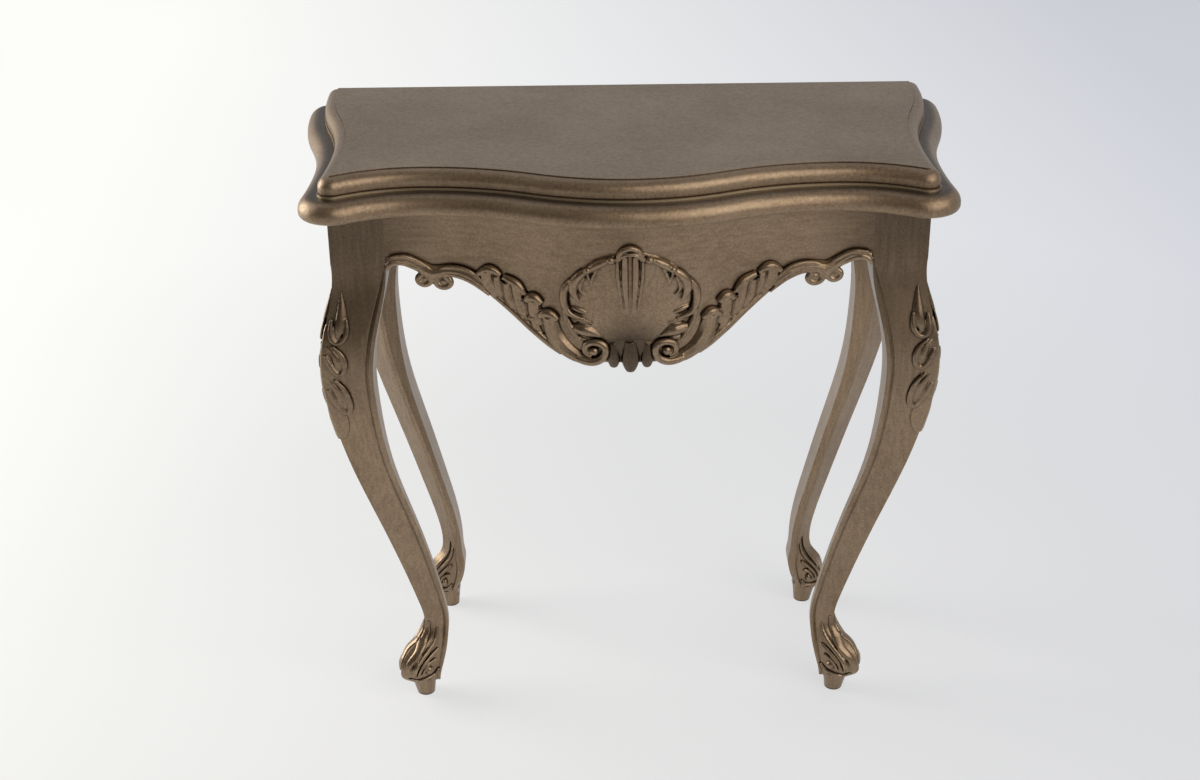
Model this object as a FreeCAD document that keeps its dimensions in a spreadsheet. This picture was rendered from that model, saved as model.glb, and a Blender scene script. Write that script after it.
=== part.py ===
import FreeCAD, Part
import math
import os
import Sketcher
from FreeCAD import Vector

doc = FreeCAD.newDocument("pier_table")

# Driving sizes of the table, in millimetres.
SIZES = (
    ("table_height", 792),
    ("table_width", 836),
    ("table_depth", 400),
    ("corner_inset", 28),
    ("corner_radius", 41),
    ("corner_setback", 23),
    ("waist_hollow", 6),
    ("waist_setback", 163),
    ("hollow_inset", 170),
    ("hollow_depth", 50),
    ("bulge_from_back", 15),
    ("back_corner_radius", 40),
    ("top_thickness", 24),
    ("top_step", 25),
    ("top_nose_radius", 13),
    ("top_under_radius", 5),
    ("field_rise", 1.5),
    ("field_margin", 13.5),
    ("under_thickness", 26),
    ("nose_radius", 17),
    ("nose_under_radius", 7),
    ("apron_inset", 27),
    ("apron_thickness", 24),
    ("apron_drop", 180),
    ("frame_inset", 59.5),
    ("post_size", 66),
    ("post_drop", 66),
    ("rail_thickness", 22),
    ("side_rail_height", 92),
    ("side_rail_setback", 2),
    ("back_rail_height", 64),
    ("back_rail_thickness", 18),
    ("rail_back_setback", 11),
    ("leg_back_setback", 9),
    ("back_leg_inset", 30),
    ("leg_sweep", 109),
    ("leg_bead_width", 9),
    ("leg_bead_rise", 1.8),
    ("leg_groove_width", 2.5),
    ("leg_groove_depth", 1.6),
    ("foot_height", 22),
    ("foot_top_diameter", 32),
    ("foot_bottom_diameter", 24),
    ("foot_rake", 2),
    ("tenon_thickness", 10),
    ("tenon_length", 26),
    ("back_tenon_length", 18),
    ("side_tenon_shift", 4),
    ("tenon_height", 44),
    ("tenon_top_margin", 12),
    ("joint_clearance", 0.2),
    ("tenon_end_clearance", 1),
    ("carving_clearance", 0.2),
    ("bead_thickness", 8),
    ("bead_height", 10),
    ("bead_volute_radius", 9.5),
    ("bead_volute_thickness", 9.5),
    ("carving_overhang", 2),
    ("leaf_strip_thickness", 10),
    ("leaf_lobe_thickness", 13),
    ("leaf_band_width", 9),
    ("scroll_radius", 15.5),
    ("scroll_thickness", 14),
    ("scroll_eye_radius", 6),
    ("scroll_groove_depth", 4),
    ("shell_width", 155),
    ("shell_height", 150),
    ("shell_top_margin", 36),
    ("shell_thickness", 12),
    ("shell_rim_width", 12),
    ("shell_dish_depth", 7),
    ("shell_rib_width", 9),
    ("shell_rib_height", 9),
    ("knee_leaf_length", 176),
    ("knee_leaf_half_breadth", 23),
    ("knee_leaf_thickness", 5),
    ("knee_leaf_top_drop", 128),
    ("block_length", 70),
    ("block_depth", 26),
    ("block_height", 30),
    ("screw_shank_diameter", 4),
    ("screw_head_diameter", 8.4),
    ("screw_head_height", 2.6),
    ("screw_tip_length", 5),
    ("block_screw_length", 45),
    ("board_screw_length", 34),
    ("board_screw_counterbore", 8),
    ("screw_clearance", 0.15),
    ("cut_overrun", 5),
)

sheet = doc.addObject("Spreadsheet::Sheet", "Sizes")
for row, (alias, length) in enumerate(SIZES, 1):
    sheet.set("A%d" % row, alias)
    sheet.set("B%d" % row, str(length))
    sheet.setAlias("B%d" % row, alias)
doc.recompute()


def size(alias):
    return float(sheet.get(alias))


# Levels and plan lines shared by several pieces.
ROOT_TWO = math.sqrt(2)
half_depth = size("table_depth") / 2
leg_height = size("table_height") - size("top_thickness") - size("under_thickness")
post_bottom = leg_height - size("post_drop")
post_half_diagonal = size("post_size") / ROOT_TWO
half_width = size("table_width") / 2
frame_half_width = half_width - size("frame_inset")
post_inner_x = frame_half_width - size("post_size")
overrun = size("cut_overrun")

FRAME_END = "Sizes.table_width / 2 - Sizes.frame_inset"
LEG_TOP = "(Sizes.table_height - Sizes.top_thickness - Sizes.under_thickness)"

# The serpentine edge of the lower board, as circles that touch each other.
bow_front = -half_depth
hollow_x = half_width - size("hollow_inset")
hollow_y = bow_front + size("hollow_depth")
corner_x = half_width - size("corner_inset") - size("corner_radius")
corner_y = bow_front + size("corner_setback") + size("corner_radius")
waist_x = corner_x + size("corner_radius") - size("waist_hollow")
waist_y = bow_front + size("waist_setback")
bulge_x = half_width
bulge_y = half_depth - size("bulge_from_back")


def matching_radius(across, along):
    """Radius of two equal arcs that swing one way and back over a step."""
    return (across ** 2 + along ** 2) / (4 * across)


def touching_radius(across, along, other):
    """Radius of a hollow that starts square and then touches a round corner."""
    return (across ** 2 + along ** 2 - other ** 2) / (2 * (other - across))


bow_radius = matching_radius(size("hollow_depth"), hollow_x)
flank_radius = touching_radius(corner_y - hollow_y, corner_x - hollow_x, size("corner_radius"))
waist_radius = touching_radius(waist_x - corner_x, waist_y - corner_y, size("corner_radius"))
bulge_radius = matching_radius(bulge_x - waist_x, bulge_y - waist_y)

bow_centre = Vector(0, bow_front + bow_radius, 0)
hollow_centre = Vector(hollow_x, hollow_y - bow_radius, 0)
flank_centre = Vector(hollow_x, hollow_y - flank_radius, 0)
corner_centre = Vector(corner_x, corner_y, 0)
waist_centre = Vector(waist_x + waist_radius, waist_y, 0)
swell_centre = Vector(waist_x + bulge_radius, waist_y, 0)
bulge_centre = Vector(bulge_x - bulge_radius, bulge_y, 0)


def from_centre(centre, toward, radius):
    return centre + (toward - centre).normalize() * radius


def round_arc(centre, start, end):
    """The shorter arc about a centre between two points."""
    middle = from_centre(centre, (start + end) / 2, start.distanceToPoint(centre))
    return Part.Arc(start, middle, end)


def mirrored(point):
    return Vector(-point.x, point.y, point.z)


def line(start, end):
    return Part.LineSegment(start, end)


def right_edge_arcs(inset):
    """The serpentine edge from the bow's end to the back bulge, set in by a distance."""
    bow_end = from_centre(bow_centre, hollow_centre, bow_radius - inset)
    hollow = Vector(hollow_x, hollow_y + inset, 0)
    corner_start = from_centre(corner_centre, flank_centre, size("corner_radius") - inset)
    corner_end = from_centre(corner_centre, waist_centre, size("corner_radius") - inset)
    waist = Vector(waist_x - inset, waist_y, 0)
    bulge_start = from_centre(bulge_centre, swell_centre, bulge_radius - inset)
    bulge = Vector(bulge_x - inset, bulge_y, 0)
    return (
        (hollow_centre, bow_end, hollow),
        (flank_centre, hollow, corner_start),
        (corner_centre, corner_start, corner_end),
        (waist_centre, corner_end, waist),
        (swell_centre, waist, bulge_start),
        (bulge_centre, bulge_start, bulge),
    )


def board_outline(inset, round_back):
    """Closed outline of a board, longer at the back than the finished board."""
    arcs = right_edge_arcs(inset)
    bow_end = arcs[0][1]
    bulge = arcs[-1][2]
    back_y = bulge_y + size("back_corner_radius")
    edges = [Part.Arc(mirrored(bow_end), Vector(0, bow_front + inset, 0), bow_end)]
    for side in (1, -1):
        for centre, start, end in arcs:
            if side == 1:
                edges.append(round_arc(centre, start, end))
            else:
                edges.append(round_arc(mirrored(centre), mirrored(start), mirrored(end)))
    if round_back:
        corner = Vector(bulge_x - size("back_corner_radius"), bulge_y, 0)
        top = Vector(corner.x, back_y, 0)
        turn = from_centre(corner, corner + Vector(1, 1, 0), size("back_corner_radius"))
        edges.append(Part.Arc(bulge, turn, top))
        edges.append(Part.Arc(mirrored(bulge), mirrored(turn), mirrored(top)))
    else:
        top = Vector(bulge.x, back_y, 0)
        edges.append(line(bulge, top))
        edges.append(line(mirrored(bulge), mirrored(top)))
    edges.append(line(top, mirrored(top)))
    return edges


def face_y(x, inset):
    """Depth of the serpentine front at a place along its length."""
    place = abs(x)
    bow_end = from_centre(bow_centre, hollow_centre, bow_radius - inset)
    if place <= bow_end.x:
        return bow_centre.y - math.sqrt((bow_radius - inset) ** 2 - place ** 2)
    if place <= hollow_x:
        return hollow_centre.y + math.sqrt((bow_radius + inset) ** 2 - (place - hollow_x) ** 2)
    return flank_centre.y + math.sqrt((flank_radius + inset) ** 2 - (place - hollow_x) ** 2)


def front_line(inset, half_span):
    """Edges of the serpentine front from one end to the other."""
    bow_end = from_centre(bow_centre, hollow_centre, bow_radius - inset)
    hollow = Vector(hollow_x, hollow_y + inset, 0)
    tip = Vector(half_span, face_y(half_span, inset), 0)
    return [
        round_arc(mirrored(flank_centre), mirrored(tip), mirrored(hollow)),
        round_arc(mirrored(hollow_centre), mirrored(hollow), mirrored(bow_end)),
        Part.Arc(mirrored(bow_end), Vector(0, bow_front + inset, 0), bow_end),
        round_arc(hollow_centre, bow_end, hollow),
        round_arc(flank_centre, hollow, tip),
    ]


def front_strip(near, far, half_span):
    """Closed strip between two insets of the serpentine front."""
    edges = front_line(near, half_span) + front_line(far, half_span)
    for side in (1, -1):
        x = side * half_span
        edges.append(line(Vector(x, face_y(x, near), 0), Vector(x, face_y(x, far), 0)))
    return edges


front_face_y = face_y(post_inner_x, size("apron_inset"))
post_back_y = front_face_y + size("post_size")
back_leg_y = half_depth - size("back_leg_inset")
back_post_centre_x = frame_half_width - post_half_diagonal


# Helpers that write bodies, sketches and features bound to the sheet.
def new_body(label):
    return doc.addObject("PartDesign::Body", label)


def new_sketch(body, name, role, offset=None):
    sketch = body.newObject("Sketcher::SketchObject", name)
    plane = next(item for item in body.Origin.OriginFeatures if item.Role == role)
    sketch.AttachmentSupport = [(plane, "")]
    sketch.MapMode = "FlatFace"
    if offset:
        sketch.setExpression("AttachmentOffset.Base.z", offset)
    return sketch


def draw_edges(sketch, edges):
    for edge in edges:
        sketch.addGeometry(edge, False)


def draw_polygon(sketch, corners):
    """Straight outline whose corners are expressions of the sheet."""
    points = [Vector(sketch.evalExpression(a), sketch.evalExpression(b), 0) for a, b in corners]
    first = sketch.GeometryCount
    count = len(points)
    for index, point in enumerate(points):
        sketch.addGeometry(line(point, points[(index + 1) % count]), False)
    for index in range(count):
        after = first + (index + 1) % count
        sketch.addConstraint(Sketcher.Constraint("Coincident", first + index, 2, after, 1))
    for index, (point, corner) in enumerate(zip(points, corners)):
        for kind, value, expression in zip(("DistanceX", "DistanceY"), point, corner):
            rule = Sketcher.Constraint(kind, -1, 1, first + index, 1, value)
            number = sketch.addConstraint(rule)
            sketch.setExpression("Constraints[%d]" % number, expression)


def draw_circles(sketch, places, diameter):
    for x, y in places:
        radius = sketch.evalExpression(diameter) / 2
        circle = Part.Circle(Vector(x, y, 0), Vector(0, 0, 1), radius)
        number = sketch.addGeometry(circle, False)
        rule = sketch.addConstraint(Sketcher.Constraint("Diameter", number, 2 * radius))
        sketch.setExpression("Constraints[%d]" % rule, diameter)


def add_pad(body, sketch, length):
    pad = body.newObject("PartDesign::Pad", sketch.Name + "_pad")
    pad.Profile = sketch
    pad.setExpression("Length", length)
    doc.recompute()
    return pad


def add_pocket(body, sketch, length, reverse=False, both_ways=False):
    before = body.Shape.Volume
    pocket = body.newObject("PartDesign::Pocket", sketch.Name + "_pocket")
    pocket.Profile = sketch
    pocket.Reversed = reverse
    if both_ways:
        pocket.SideType = "Symmetric"
    pocket.setExpression("Length", length)
    doc.recompute()
    if not body.Shape.Volume < before:
        raise RuntimeError("%s cuts nothing" % pocket.Name)
    return pocket


def edges_at(feature, height):
    """Names of a feature's edges that lie at one level."""
    names = []
    for number, edge in enumerate(feature.Shape.Edges, 1):
        box = edge.BoundBox
        if all(math.isclose(level, height, rel_tol=1e-9) for level in (box.ZMin, box.ZMax)):
            names.append("Edge%d" % number)
    return names


def add_fillet(body, feature, heights, radius):
    fillet = body.newObject("PartDesign::Fillet", "%s_round" % feature.Name)
    names = [name for height in heights for name in edges_at(feature, height)]
    fillet.Base = (feature, names)
    fillet.setExpression("Radius", radius)
    doc.recompute()
    return fillet


def trim_back(body, label):
    """Saws a moulded board flat along its straight back edge."""
    sketch = new_sketch(body, label + "_back_saw", "XY_Plane", "Sizes.table_height")
    reach = "(Sizes.table_width / 2 + Sizes.cut_overrun)"
    back = "(Sizes.table_depth / 2 - Sizes.bulge_from_back + Sizes.back_corner_radius + Sizes.cut_overrun)"
    draw_polygon(sketch, (
        ("-" + reach, "Sizes.table_depth / 2"),
        (reach, "Sizes.table_depth / 2"),
        (reach, back),
        ("-" + reach, back),
    ))
    return add_pocket(body, sketch, "4 * (Sizes.top_thickness + Sizes.under_thickness)", both_ways=True)


# Places of the screws, as shares of the half width and the half depth.
BOARD_SCREW_SHARES = (
    (-0.62, -0.25), (0, -0.55), (0.62, -0.25),
    (-0.72, 0.55), (0, 0.5), (0.72, 0.55),
)
board_screw_places = [(a * frame_half_width, b * half_depth) for a, b in BOARD_SCREW_SHARES]


# Fixing blocks inside the frame: a label, the place of the block's middle and its turn.
rail_inner_x = frame_half_width - size("side_rail_setback") - size("rail_thickness")
back_rail_rear_y = half_depth - size("rail_back_setback")
back_rail_inner_y = back_rail_rear_y - size("back_rail_thickness")
BACK_BLOCK_SHARE = 0.45
FRONT_BLOCK_SHARE = 0.52
SIDE_BLOCK_SHARE = 0.45
side_block_y = post_back_y + SIDE_BLOCK_SHARE * (back_leg_y - post_half_diagonal - post_back_y)
front_block_x = FRONT_BLOCK_SHARE * post_inner_x
back_block_x = BACK_BLOCK_SHARE * post_inner_x
apron_far = size("apron_inset") + size("apron_thickness")
half_block = size("block_depth") / 2
front_block_y = face_y(front_block_x, apron_far) + half_block
block_places = []
for side_name, side in (("left", -1), ("right", 1)):
    block_places += [
        (side_name + "_side_block", side * (rail_inner_x - half_block), side_block_y, True),
        ("back_" + side_name + "_block", side * back_block_x, back_rail_inner_y - half_block, False),
        ("front_" + side_name + "_block", side * front_block_x, front_block_y, False),
    ]
block_screw_places = [(x, y) for label, x, y, turned in block_places]


# Lower board: a nose all round, broad above and tight below, and a flat back.
under_board = new_body("under_board")
outline = new_sketch(under_board, "under_outline", "XY_Plane", LEG_TOP)
draw_edges(outline, board_outline(0, True))
slab = add_pad(under_board, outline, "Sizes.under_thickness")
slab_top = leg_height + size("under_thickness")
slab_nose = add_fillet(under_board, slab, (slab_top,), "Sizes.nose_radius")
add_fillet(under_board, slab_nose, (leg_height,), "Sizes.nose_under_radius")
trim_back(under_board, "under")
screw_holes = new_sketch(under_board, "board_screw_holes", "XY_Plane", LEG_TOP)
draw_circles(screw_holes, board_screw_places, "Sizes.screw_shank_diameter + 2 * Sizes.screw_clearance")
add_pocket(under_board, screw_holes, "Sizes.under_thickness + Sizes.cut_overrun", reverse=True)
head_holes = new_sketch(under_board, "board_screw_heads", "XY_Plane", LEG_TOP)
draw_circles(head_holes, board_screw_places, "Sizes.screw_head_diameter + 2 * Sizes.screw_clearance")
add_pocket(under_board, head_holes, "Sizes.board_screw_counterbore", reverse=True)
pilot_holes = new_sketch(under_board, "block_screw_holes", "XY_Plane", LEG_TOP)
draw_circles(pilot_holes, block_screw_places, "Sizes.screw_shank_diameter + 2 * Sizes.screw_clearance")
PILOT_DEPTH = "Sizes.block_screw_length - Sizes.block_height + Sizes.joint_clearance"
add_pocket(under_board, pilot_holes, PILOT_DEPTH, reverse=True)

# Upper board: rounded edge below a slightly raised flat field, flat back.
top_board = new_body("top_board")
TOP_BASE = "Sizes.table_height - Sizes.top_thickness"
top_outline = new_sketch(top_board, "top_outline", "XY_Plane", TOP_BASE)
draw_edges(top_outline, board_outline(size("top_step"), False))
slab = add_pad(top_board, top_outline, "Sizes.top_thickness - Sizes.field_rise")
slab_top = size("table_height") - size("field_rise")
slab_base = size("table_height") - size("top_thickness")
slab_nose = add_fillet(top_board, slab, (slab_top,), "Sizes.top_nose_radius")
add_fillet(top_board, slab_nose, (slab_base,), "Sizes.top_under_radius")
field_outline = new_sketch(top_board, "field_outline", "XY_Plane", "Sizes.table_height - Sizes.field_rise")
draw_edges(field_outline, board_outline(size("top_step") + size("field_margin"), False))
add_pad(top_board, field_outline, "Sizes.field_rise")
trim_back(top_board, "top")
top_pilots = new_sketch(top_board, "top_screw_holes", "XY_Plane", TOP_BASE)
draw_circles(top_pilots, board_screw_places, "Sizes.screw_shank_diameter + 2 * Sizes.screw_clearance")
add_pocket(top_board, top_pilots, "Sizes.board_screw_counterbore + Sizes.board_screw_length"
           " - Sizes.under_thickness + Sizes.joint_clearance", reverse=True)

# Front apron: a serpentine rail with a shaped lower edge and a tenon at each end.
# Points of the lower edge: shares of the half span and of the apron's drop.
LOWER_EDGE_SHARES = (
    ((0.916, 0.333), (0.82, 0.422)),
    ((0.711, 0.406), (0.608, 0.511)),
    ((0.448, 0.739), (0.301, 0.922)),
    ((0.232, 0.978), (0.157, 1)),
)
apron_bottom = leg_height - size("apron_drop")


def apron_point(shares):
    """A point on the apron's elevation, from shares of its half span and drop."""
    return Vector(shares[0] * post_inner_x, leg_height - shares[1] * size("apron_drop"), 0)


def lower_edge(rise):
    """The apron's lower edge from the leg to the middle, moved up by a rise."""
    lift = Vector(0, rise, 0)
    start = Vector(post_inner_x, post_bottom, 0)
    arcs = []
    for middle, end in LOWER_EDGE_SHARES:
        arcs.append((start + lift, apron_point(middle) + lift, apron_point(end) + lift))
        start = apron_point(end)
    return arcs


front_apron = new_body("front_apron")
apron_plan = new_sketch(front_apron, "apron_plan", "XY_Plane", LEG_TOP + " - Sizes.apron_drop")
draw_edges(apron_plan, front_strip(size("apron_inset"), apron_far, post_inner_x))
add_pad(front_apron, apron_plan, "Sizes.apron_drop")
for side_name, side in (("left", -1), ("right", 1)):
    edge_cut = new_sketch(front_apron, "apron_edge_" + side_name, "XZ_Plane")
    arcs = lower_edge(0)
    corners = [arcs[-1][2]]
    corners.append(Vector(corners[0].x, apron_bottom - overrun, 0))
    corners.append(Vector(post_inner_x + overrun, apron_bottom - overrun, 0))
    corners.append(Vector(post_inner_x + overrun, post_bottom, 0))
    corners.append(arcs[0][0])
    if side < 0:
        corners = [mirrored(point) for point in corners]
        arcs = [[mirrored(point) for point in arc] for arc in arcs]
    draw_edges(edge_cut, [line(a, b) for a, b in zip(corners, corners[1:])])
    draw_edges(edge_cut, [Part.Arc(*arc) for arc in arcs])
    add_pocket(front_apron, edge_cut, "2 * Sizes.table_depth", both_ways=True)

TENON_BASE = LEG_TOP + " - Sizes.tenon_top_margin - Sizes.tenon_height"


def draw_box(sketch, x_low, x_high, y_low, y_high):
    """Rectangle between four expressions."""
    draw_polygon(sketch, ((x_low, y_low), (x_high, y_low), (x_high, y_high), (x_low, y_high)))


def number(value):
    """A length worked out from the plan, written for an expression."""
    return "(%.6f)" % value


APRON_END = "(%s - Sizes.post_size)" % FRAME_END
apron_tenon_y = front_face_y + size("apron_thickness") / 2
apron_tenons = new_sketch(front_apron, "apron_tenons", "XY_Plane", TENON_BASE)
for sign in ("", "-"):
    draw_box(
        apron_tenons,
        sign + "(%s - Sizes.tenon_thickness)" % APRON_END,
        sign + "(%s + Sizes.tenon_length)" % APRON_END,
        number(apron_tenon_y) + " - Sizes.tenon_thickness / 2",
        number(apron_tenon_y) + " + Sizes.tenon_thickness / 2",
    )
add_pad(front_apron, apron_tenons, "Sizes.tenon_height")

# Side aprons: straight rails with a dropped middle, mitred against the turned back posts.
SIDE_EDGE_SHARES = (((0.3, -0.1), (0.55, 0.25)), ((0.75, 0.8), (1, 1)))
side_front_y = post_back_y
side_drop = size("side_rail_height") - size("post_drop")
SIDE_OUTER = "(%s - Sizes.side_rail_setback)" % FRAME_END
SIDE_INNER = "(%s - Sizes.side_rail_setback - Sizes.rail_thickness)" % FRAME_END
SIDE_TENON = "(%s - Sizes.side_rail_setback - Sizes.rail_thickness / 2)" % FRAME_END
BACK_AXIS = "(Sizes.table_depth / 2 - Sizes.back_leg_inset)"
BACK_MITRE = "(%s - Sizes.side_rail_setback - Sizes.rail_thickness / 2)" % BACK_AXIS
side_aprons = []
for side_name, sign in (("left", "-"), ("right", "")):
    side_apron = new_body(side_name + "_side_apron")
    side_base = LEG_TOP + " - Sizes.side_rail_height"
    side_plan = new_sketch(side_apron, side_name + "_side_plan", "XY_Plane", side_base)
    draw_polygon(side_plan, (
        (sign + SIDE_OUTER, number(side_front_y)),
        (sign + SIDE_OUTER, BACK_AXIS + " - Sizes.side_rail_setback"),
        (sign + SIDE_INNER, BACK_AXIS + " - Sizes.side_rail_setback - Sizes.rail_thickness"),
        (sign + SIDE_INNER, number(side_front_y)),
    ))
    add_pad(side_apron, side_plan, "Sizes.side_rail_height")
    half_run = (back_leg_y - side_front_y) / 2
    for end_name, end_y, step_way in (("front", side_front_y, 1), ("back", back_leg_y, -1)):
        edge_cut = new_sketch(side_apron, side_name + "_side_edge_" + end_name, "YZ_Plane")
        start = Vector(end_y, post_bottom, 0)
        first = start
        for shares in SIDE_EDGE_SHARES:
            middle, end = [
                Vector(end_y + step_way * share * half_run, post_bottom - fall * side_drop, 0)
                for share, fall in shares
            ]
            draw_edges(edge_cut, [Part.Arc(start, middle, end)])
            start = end
        below = leg_height - size("side_rail_height") - overrun
        outside = end_y - step_way * overrun
        corners = [start, Vector(start.x, below, 0), Vector(outside, below, 0)]
        corners += [Vector(outside, post_bottom, 0), first]
        draw_edges(edge_cut, [line(a, b) for a, b in zip(corners, corners[1:])])
        add_pocket(side_apron, edge_cut, "2 * Sizes.table_width", both_ways=True)
    side_tenons = new_sketch(side_apron, side_name + "_side_tenons", "XY_Plane", TENON_BASE)
    draw_box(
        side_tenons,
        sign + "(%s - Sizes.tenon_thickness / 2)" % SIDE_TENON,
        sign + "(%s + Sizes.tenon_thickness / 2)" % SIDE_TENON,
        number(side_front_y) + " - Sizes.tenon_length",
        number(side_front_y) + " + Sizes.tenon_thickness",
    )
    draw_box(
        side_tenons,
        sign + "(%s - Sizes.side_tenon_shift - Sizes.tenon_thickness / 2)" % SIDE_TENON,
        sign + "(%s - Sizes.side_tenon_shift + Sizes.tenon_thickness / 2)" % SIDE_TENON,
        BACK_MITRE + " - Sizes.rail_thickness",
        BACK_MITRE + " + Sizes.back_tenon_length",
    )
    add_pad(side_apron, side_tenons, "Sizes.tenon_height")
    side_aprons.append(side_apron)

# Back rail: a plain straight rail between the back posts.
back_rail = new_body("back_rail")
BACK_REAR = "(Sizes.table_depth / 2 - Sizes.rail_back_setback)"
BACK_INNER = "(%s - Sizes.back_rail_thickness)" % BACK_REAR
rail_inner_corner = frame_half_width - 2 * post_half_diagonal
rear_end = number(rail_inner_corner + back_rail_rear_y - back_leg_y)
inner_end = number(rail_inner_corner + back_rail_inner_y - back_leg_y)
rail_plan = new_sketch(back_rail, "rail_plan", "XY_Plane", LEG_TOP + " - Sizes.back_rail_height")
draw_polygon(rail_plan, (
    ("-" + rear_end, BACK_REAR),
    (rear_end, BACK_REAR),
    (inner_end, BACK_INNER),
    ("-" + inner_end, BACK_INNER),
))
add_pad(back_rail, rail_plan, "Sizes.back_rail_height")
rail_tenons = new_sketch(back_rail, "rail_tenons", "XY_Plane", TENON_BASE)
RAIL_MIDDLE = "(%s - Sizes.back_rail_thickness / 2)" % BACK_REAR
for sign in ("", "-"):
    draw_box(
        rail_tenons,
        sign + "(%s - Sizes.rail_thickness)" % inner_end,
        sign + "(%s + Sizes.back_rail_thickness / 2 + Sizes.back_tenon_length)" % inner_end,
        RAIL_MIDDLE + " - Sizes.tenon_thickness / 2",
        RAIL_MIDDLE + " + Sizes.tenon_thickness / 2",
    )
add_pad(back_rail, rail_tenons, "Sizes.tenon_height")

# Cabriole legs. Each row is a level of the leg, from the post down to the ankle:
# height, sweep, depth of the show faces, half breadth, inner depth, toe swell and bead.
# Height is a share of the leg height, sweep of the leg sweep, bead of the bead's size,
# and the rest are shares of half the post's diagonal.
LEG_LEVEL_SHARES = (
    (0.868, 0.01, 0.975, 0.975, 0.84, 0, 0.7),
    (0.791, 0.165, 0.96, 0.96, 0.7, 0, 1),
    (0.7275, 0.228, 0.935, 0.935, 0.605, 0, 1),
    (0.6567, 0.165, 0.88, 0.88, 0.49, 0, 1),
    (0.5415, -0.055, 0.77, 0.77, 0.3, 0, 1),
    (0.4067, -0.41, 0.705, 0.705, 0.18, 0, 1),
    (0.272, -0.76, 0.61, 0.61, 0.15, 0, 0.9),
    (0.194, -0.945, 0.53, 0.53, 0.15, 0, 0.8),
    (0.1455, -1, 0.505, 0.5, 0.15, 0.01, 0.75),
)
# Levels of the scroll foot below the ankle, where the second share is the toe's kick
# forward of the ankle, a share of the leg sweep. The sole's row has no height.
FOOT_LEVEL_SHARES = (
    (0.124, 0.06, 0.6, 0.5, 0.15, 0.04, 0.75),
    (0.1025, 0.29, 1.08, 0.5, 0.15, 0.13, 0.72),
    (0.081, 0.4, 1.25, 0.49, 0.14, 0.2, 0.68),
    (0.0607, 0.42, 1.2, 0.47, 0.12, 0.21, 0.6),
    (0.0458, 0.345, 0.97, 0.44, 0.1, 0.19, 0.5),
)
SOLE_SHARES = (0.2, 0.62, 0.4, 0.07, 0.15, 0.4)
POST_SHARES = (0, 1, 1, 0.94, 0, 0)
SHOULDER_SHARE = 0.28
FOOT_ROOT_SHARE = 0.25

# Sweep, toe kick and inner depth of a leg, as shares of those above.
FRONT_LEG_SHARES = (1, 1, 1)
BACK_LEG_SHARES = (0.8, 0.6, 0.75)


def leg_section(height, shares, sweep):
    """Corners of one level of a leg: u runs outwards along its corner, v across it."""
    reach, deep, broad, inner, swell, bead = shares
    tip = Vector(reach * sweep, 0, height)
    along = Vector(-deep, broad, 0) * post_half_diagonal
    face = along.Length
    along.normalize()
    out = Vector(along.y, -along.x, 0)
    edge = tip + along * face
    width = bead * size("leg_bead_width")
    margin = width + bead * size("leg_groove_width")
    inset = inner * post_half_diagonal
    half = [
        tip,
        tip + along * (SHOULDER_SHARE * face) + out * (swell * post_half_diagonal),
        edge - along * margin,
        edge - along * width - out * (bead * size("leg_groove_depth")),
        edge - along * (width / 2) + out * (bead * size("leg_bead_rise")),
        edge,
        edge + Vector(-inset, -inset, 0),
    ]
    return half + [Vector(p.x, -p.y, p.z) for p in reversed(half[1:])]


def leg_levels(form):
    """Sections of the swept part of a leg, from under the post to the sole."""
    sweep_share, kick_share, inner_share = form
    sweep = sweep_share * size("leg_sweep")
    levels = [(post_bottom, POST_SHARES)]
    for level, reach, deep, broad, inner, swell, bead in LEG_LEVEL_SHARES:
        levels.append((level * leg_height, (reach, deep, broad, inner * inner_share, swell, bead)))
    for level, kick, deep, *shape in FOOT_LEVEL_SHARES:
        heel_deep = deep - (1 - kick_share) * kick * sweep / post_half_diagonal
        levels.append((level * leg_height, (kick * kick_share - 1, heel_deep, *shape)))
    levels.append((size("foot_height"), (SOLE_SHARES[0] * kick_share - 1, *SOLE_SHARES[1:])))
    return [leg_section(height, shares, sweep) for height, shares in levels]


def closed_wire(points):
    return Part.makePolygon(points + points[:1])


def sewn_solid(faces):
    skin = Part.makeCompound(faces)
    skin.sewShape()
    body = Part.Solid(Part.Shell(skin.Faces))
    if body.Volume < 0:
        body.reverse()
    return body


def smooth_strips(levels):
    """Faces ruled between smooth edges that run through matching corners of the levels."""
    edges = []
    for corners in zip(*levels):
        curve = Part.BSplineCurve()
        curve.interpolate(list(corners))
        edges.append(curve.toShape())
    return [Part.makeRuledSurface(edges[place - 1], edge) for place, edge in enumerate(edges)]


def leg_blank(form):
    """A whole leg: square post, swept leg with scroll foot, and peg foot under the sole."""
    levels = leg_levels(form)
    post_top = closed_wire(leg_section(leg_height, POST_SHARES, size("leg_sweep")))
    post = Part.makeLoft([post_top, closed_wire(levels[0])], False, True)
    ends = [Part.Face(post_top), Part.Face(closed_wire(levels[-1]))]
    body = sewn_solid(smooth_strips(levels) + post.Faces + ends)
    sole = [corner.x for corner in levels[-1]]
    top = Vector((min(sole) + max(sole)) / 2, 0, size("foot_height"))
    bottom = Vector(top.x - size("foot_rake"), 0, 0)
    root = top + (top - bottom) * FOOT_ROOT_SHARE
    circles = []
    for centre, diameter in (
        (root, size("foot_top_diameter")),
        (top, size("foot_top_diameter")),
        (bottom, size("foot_bottom_diameter")),
    ):
        circles.append(Part.Wire(Part.Circle(centre, Vector(0, 0, 1), diameter / 2).toShape()))
    return body.fuse(Part.makeLoft(circles, True, True))


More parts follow.
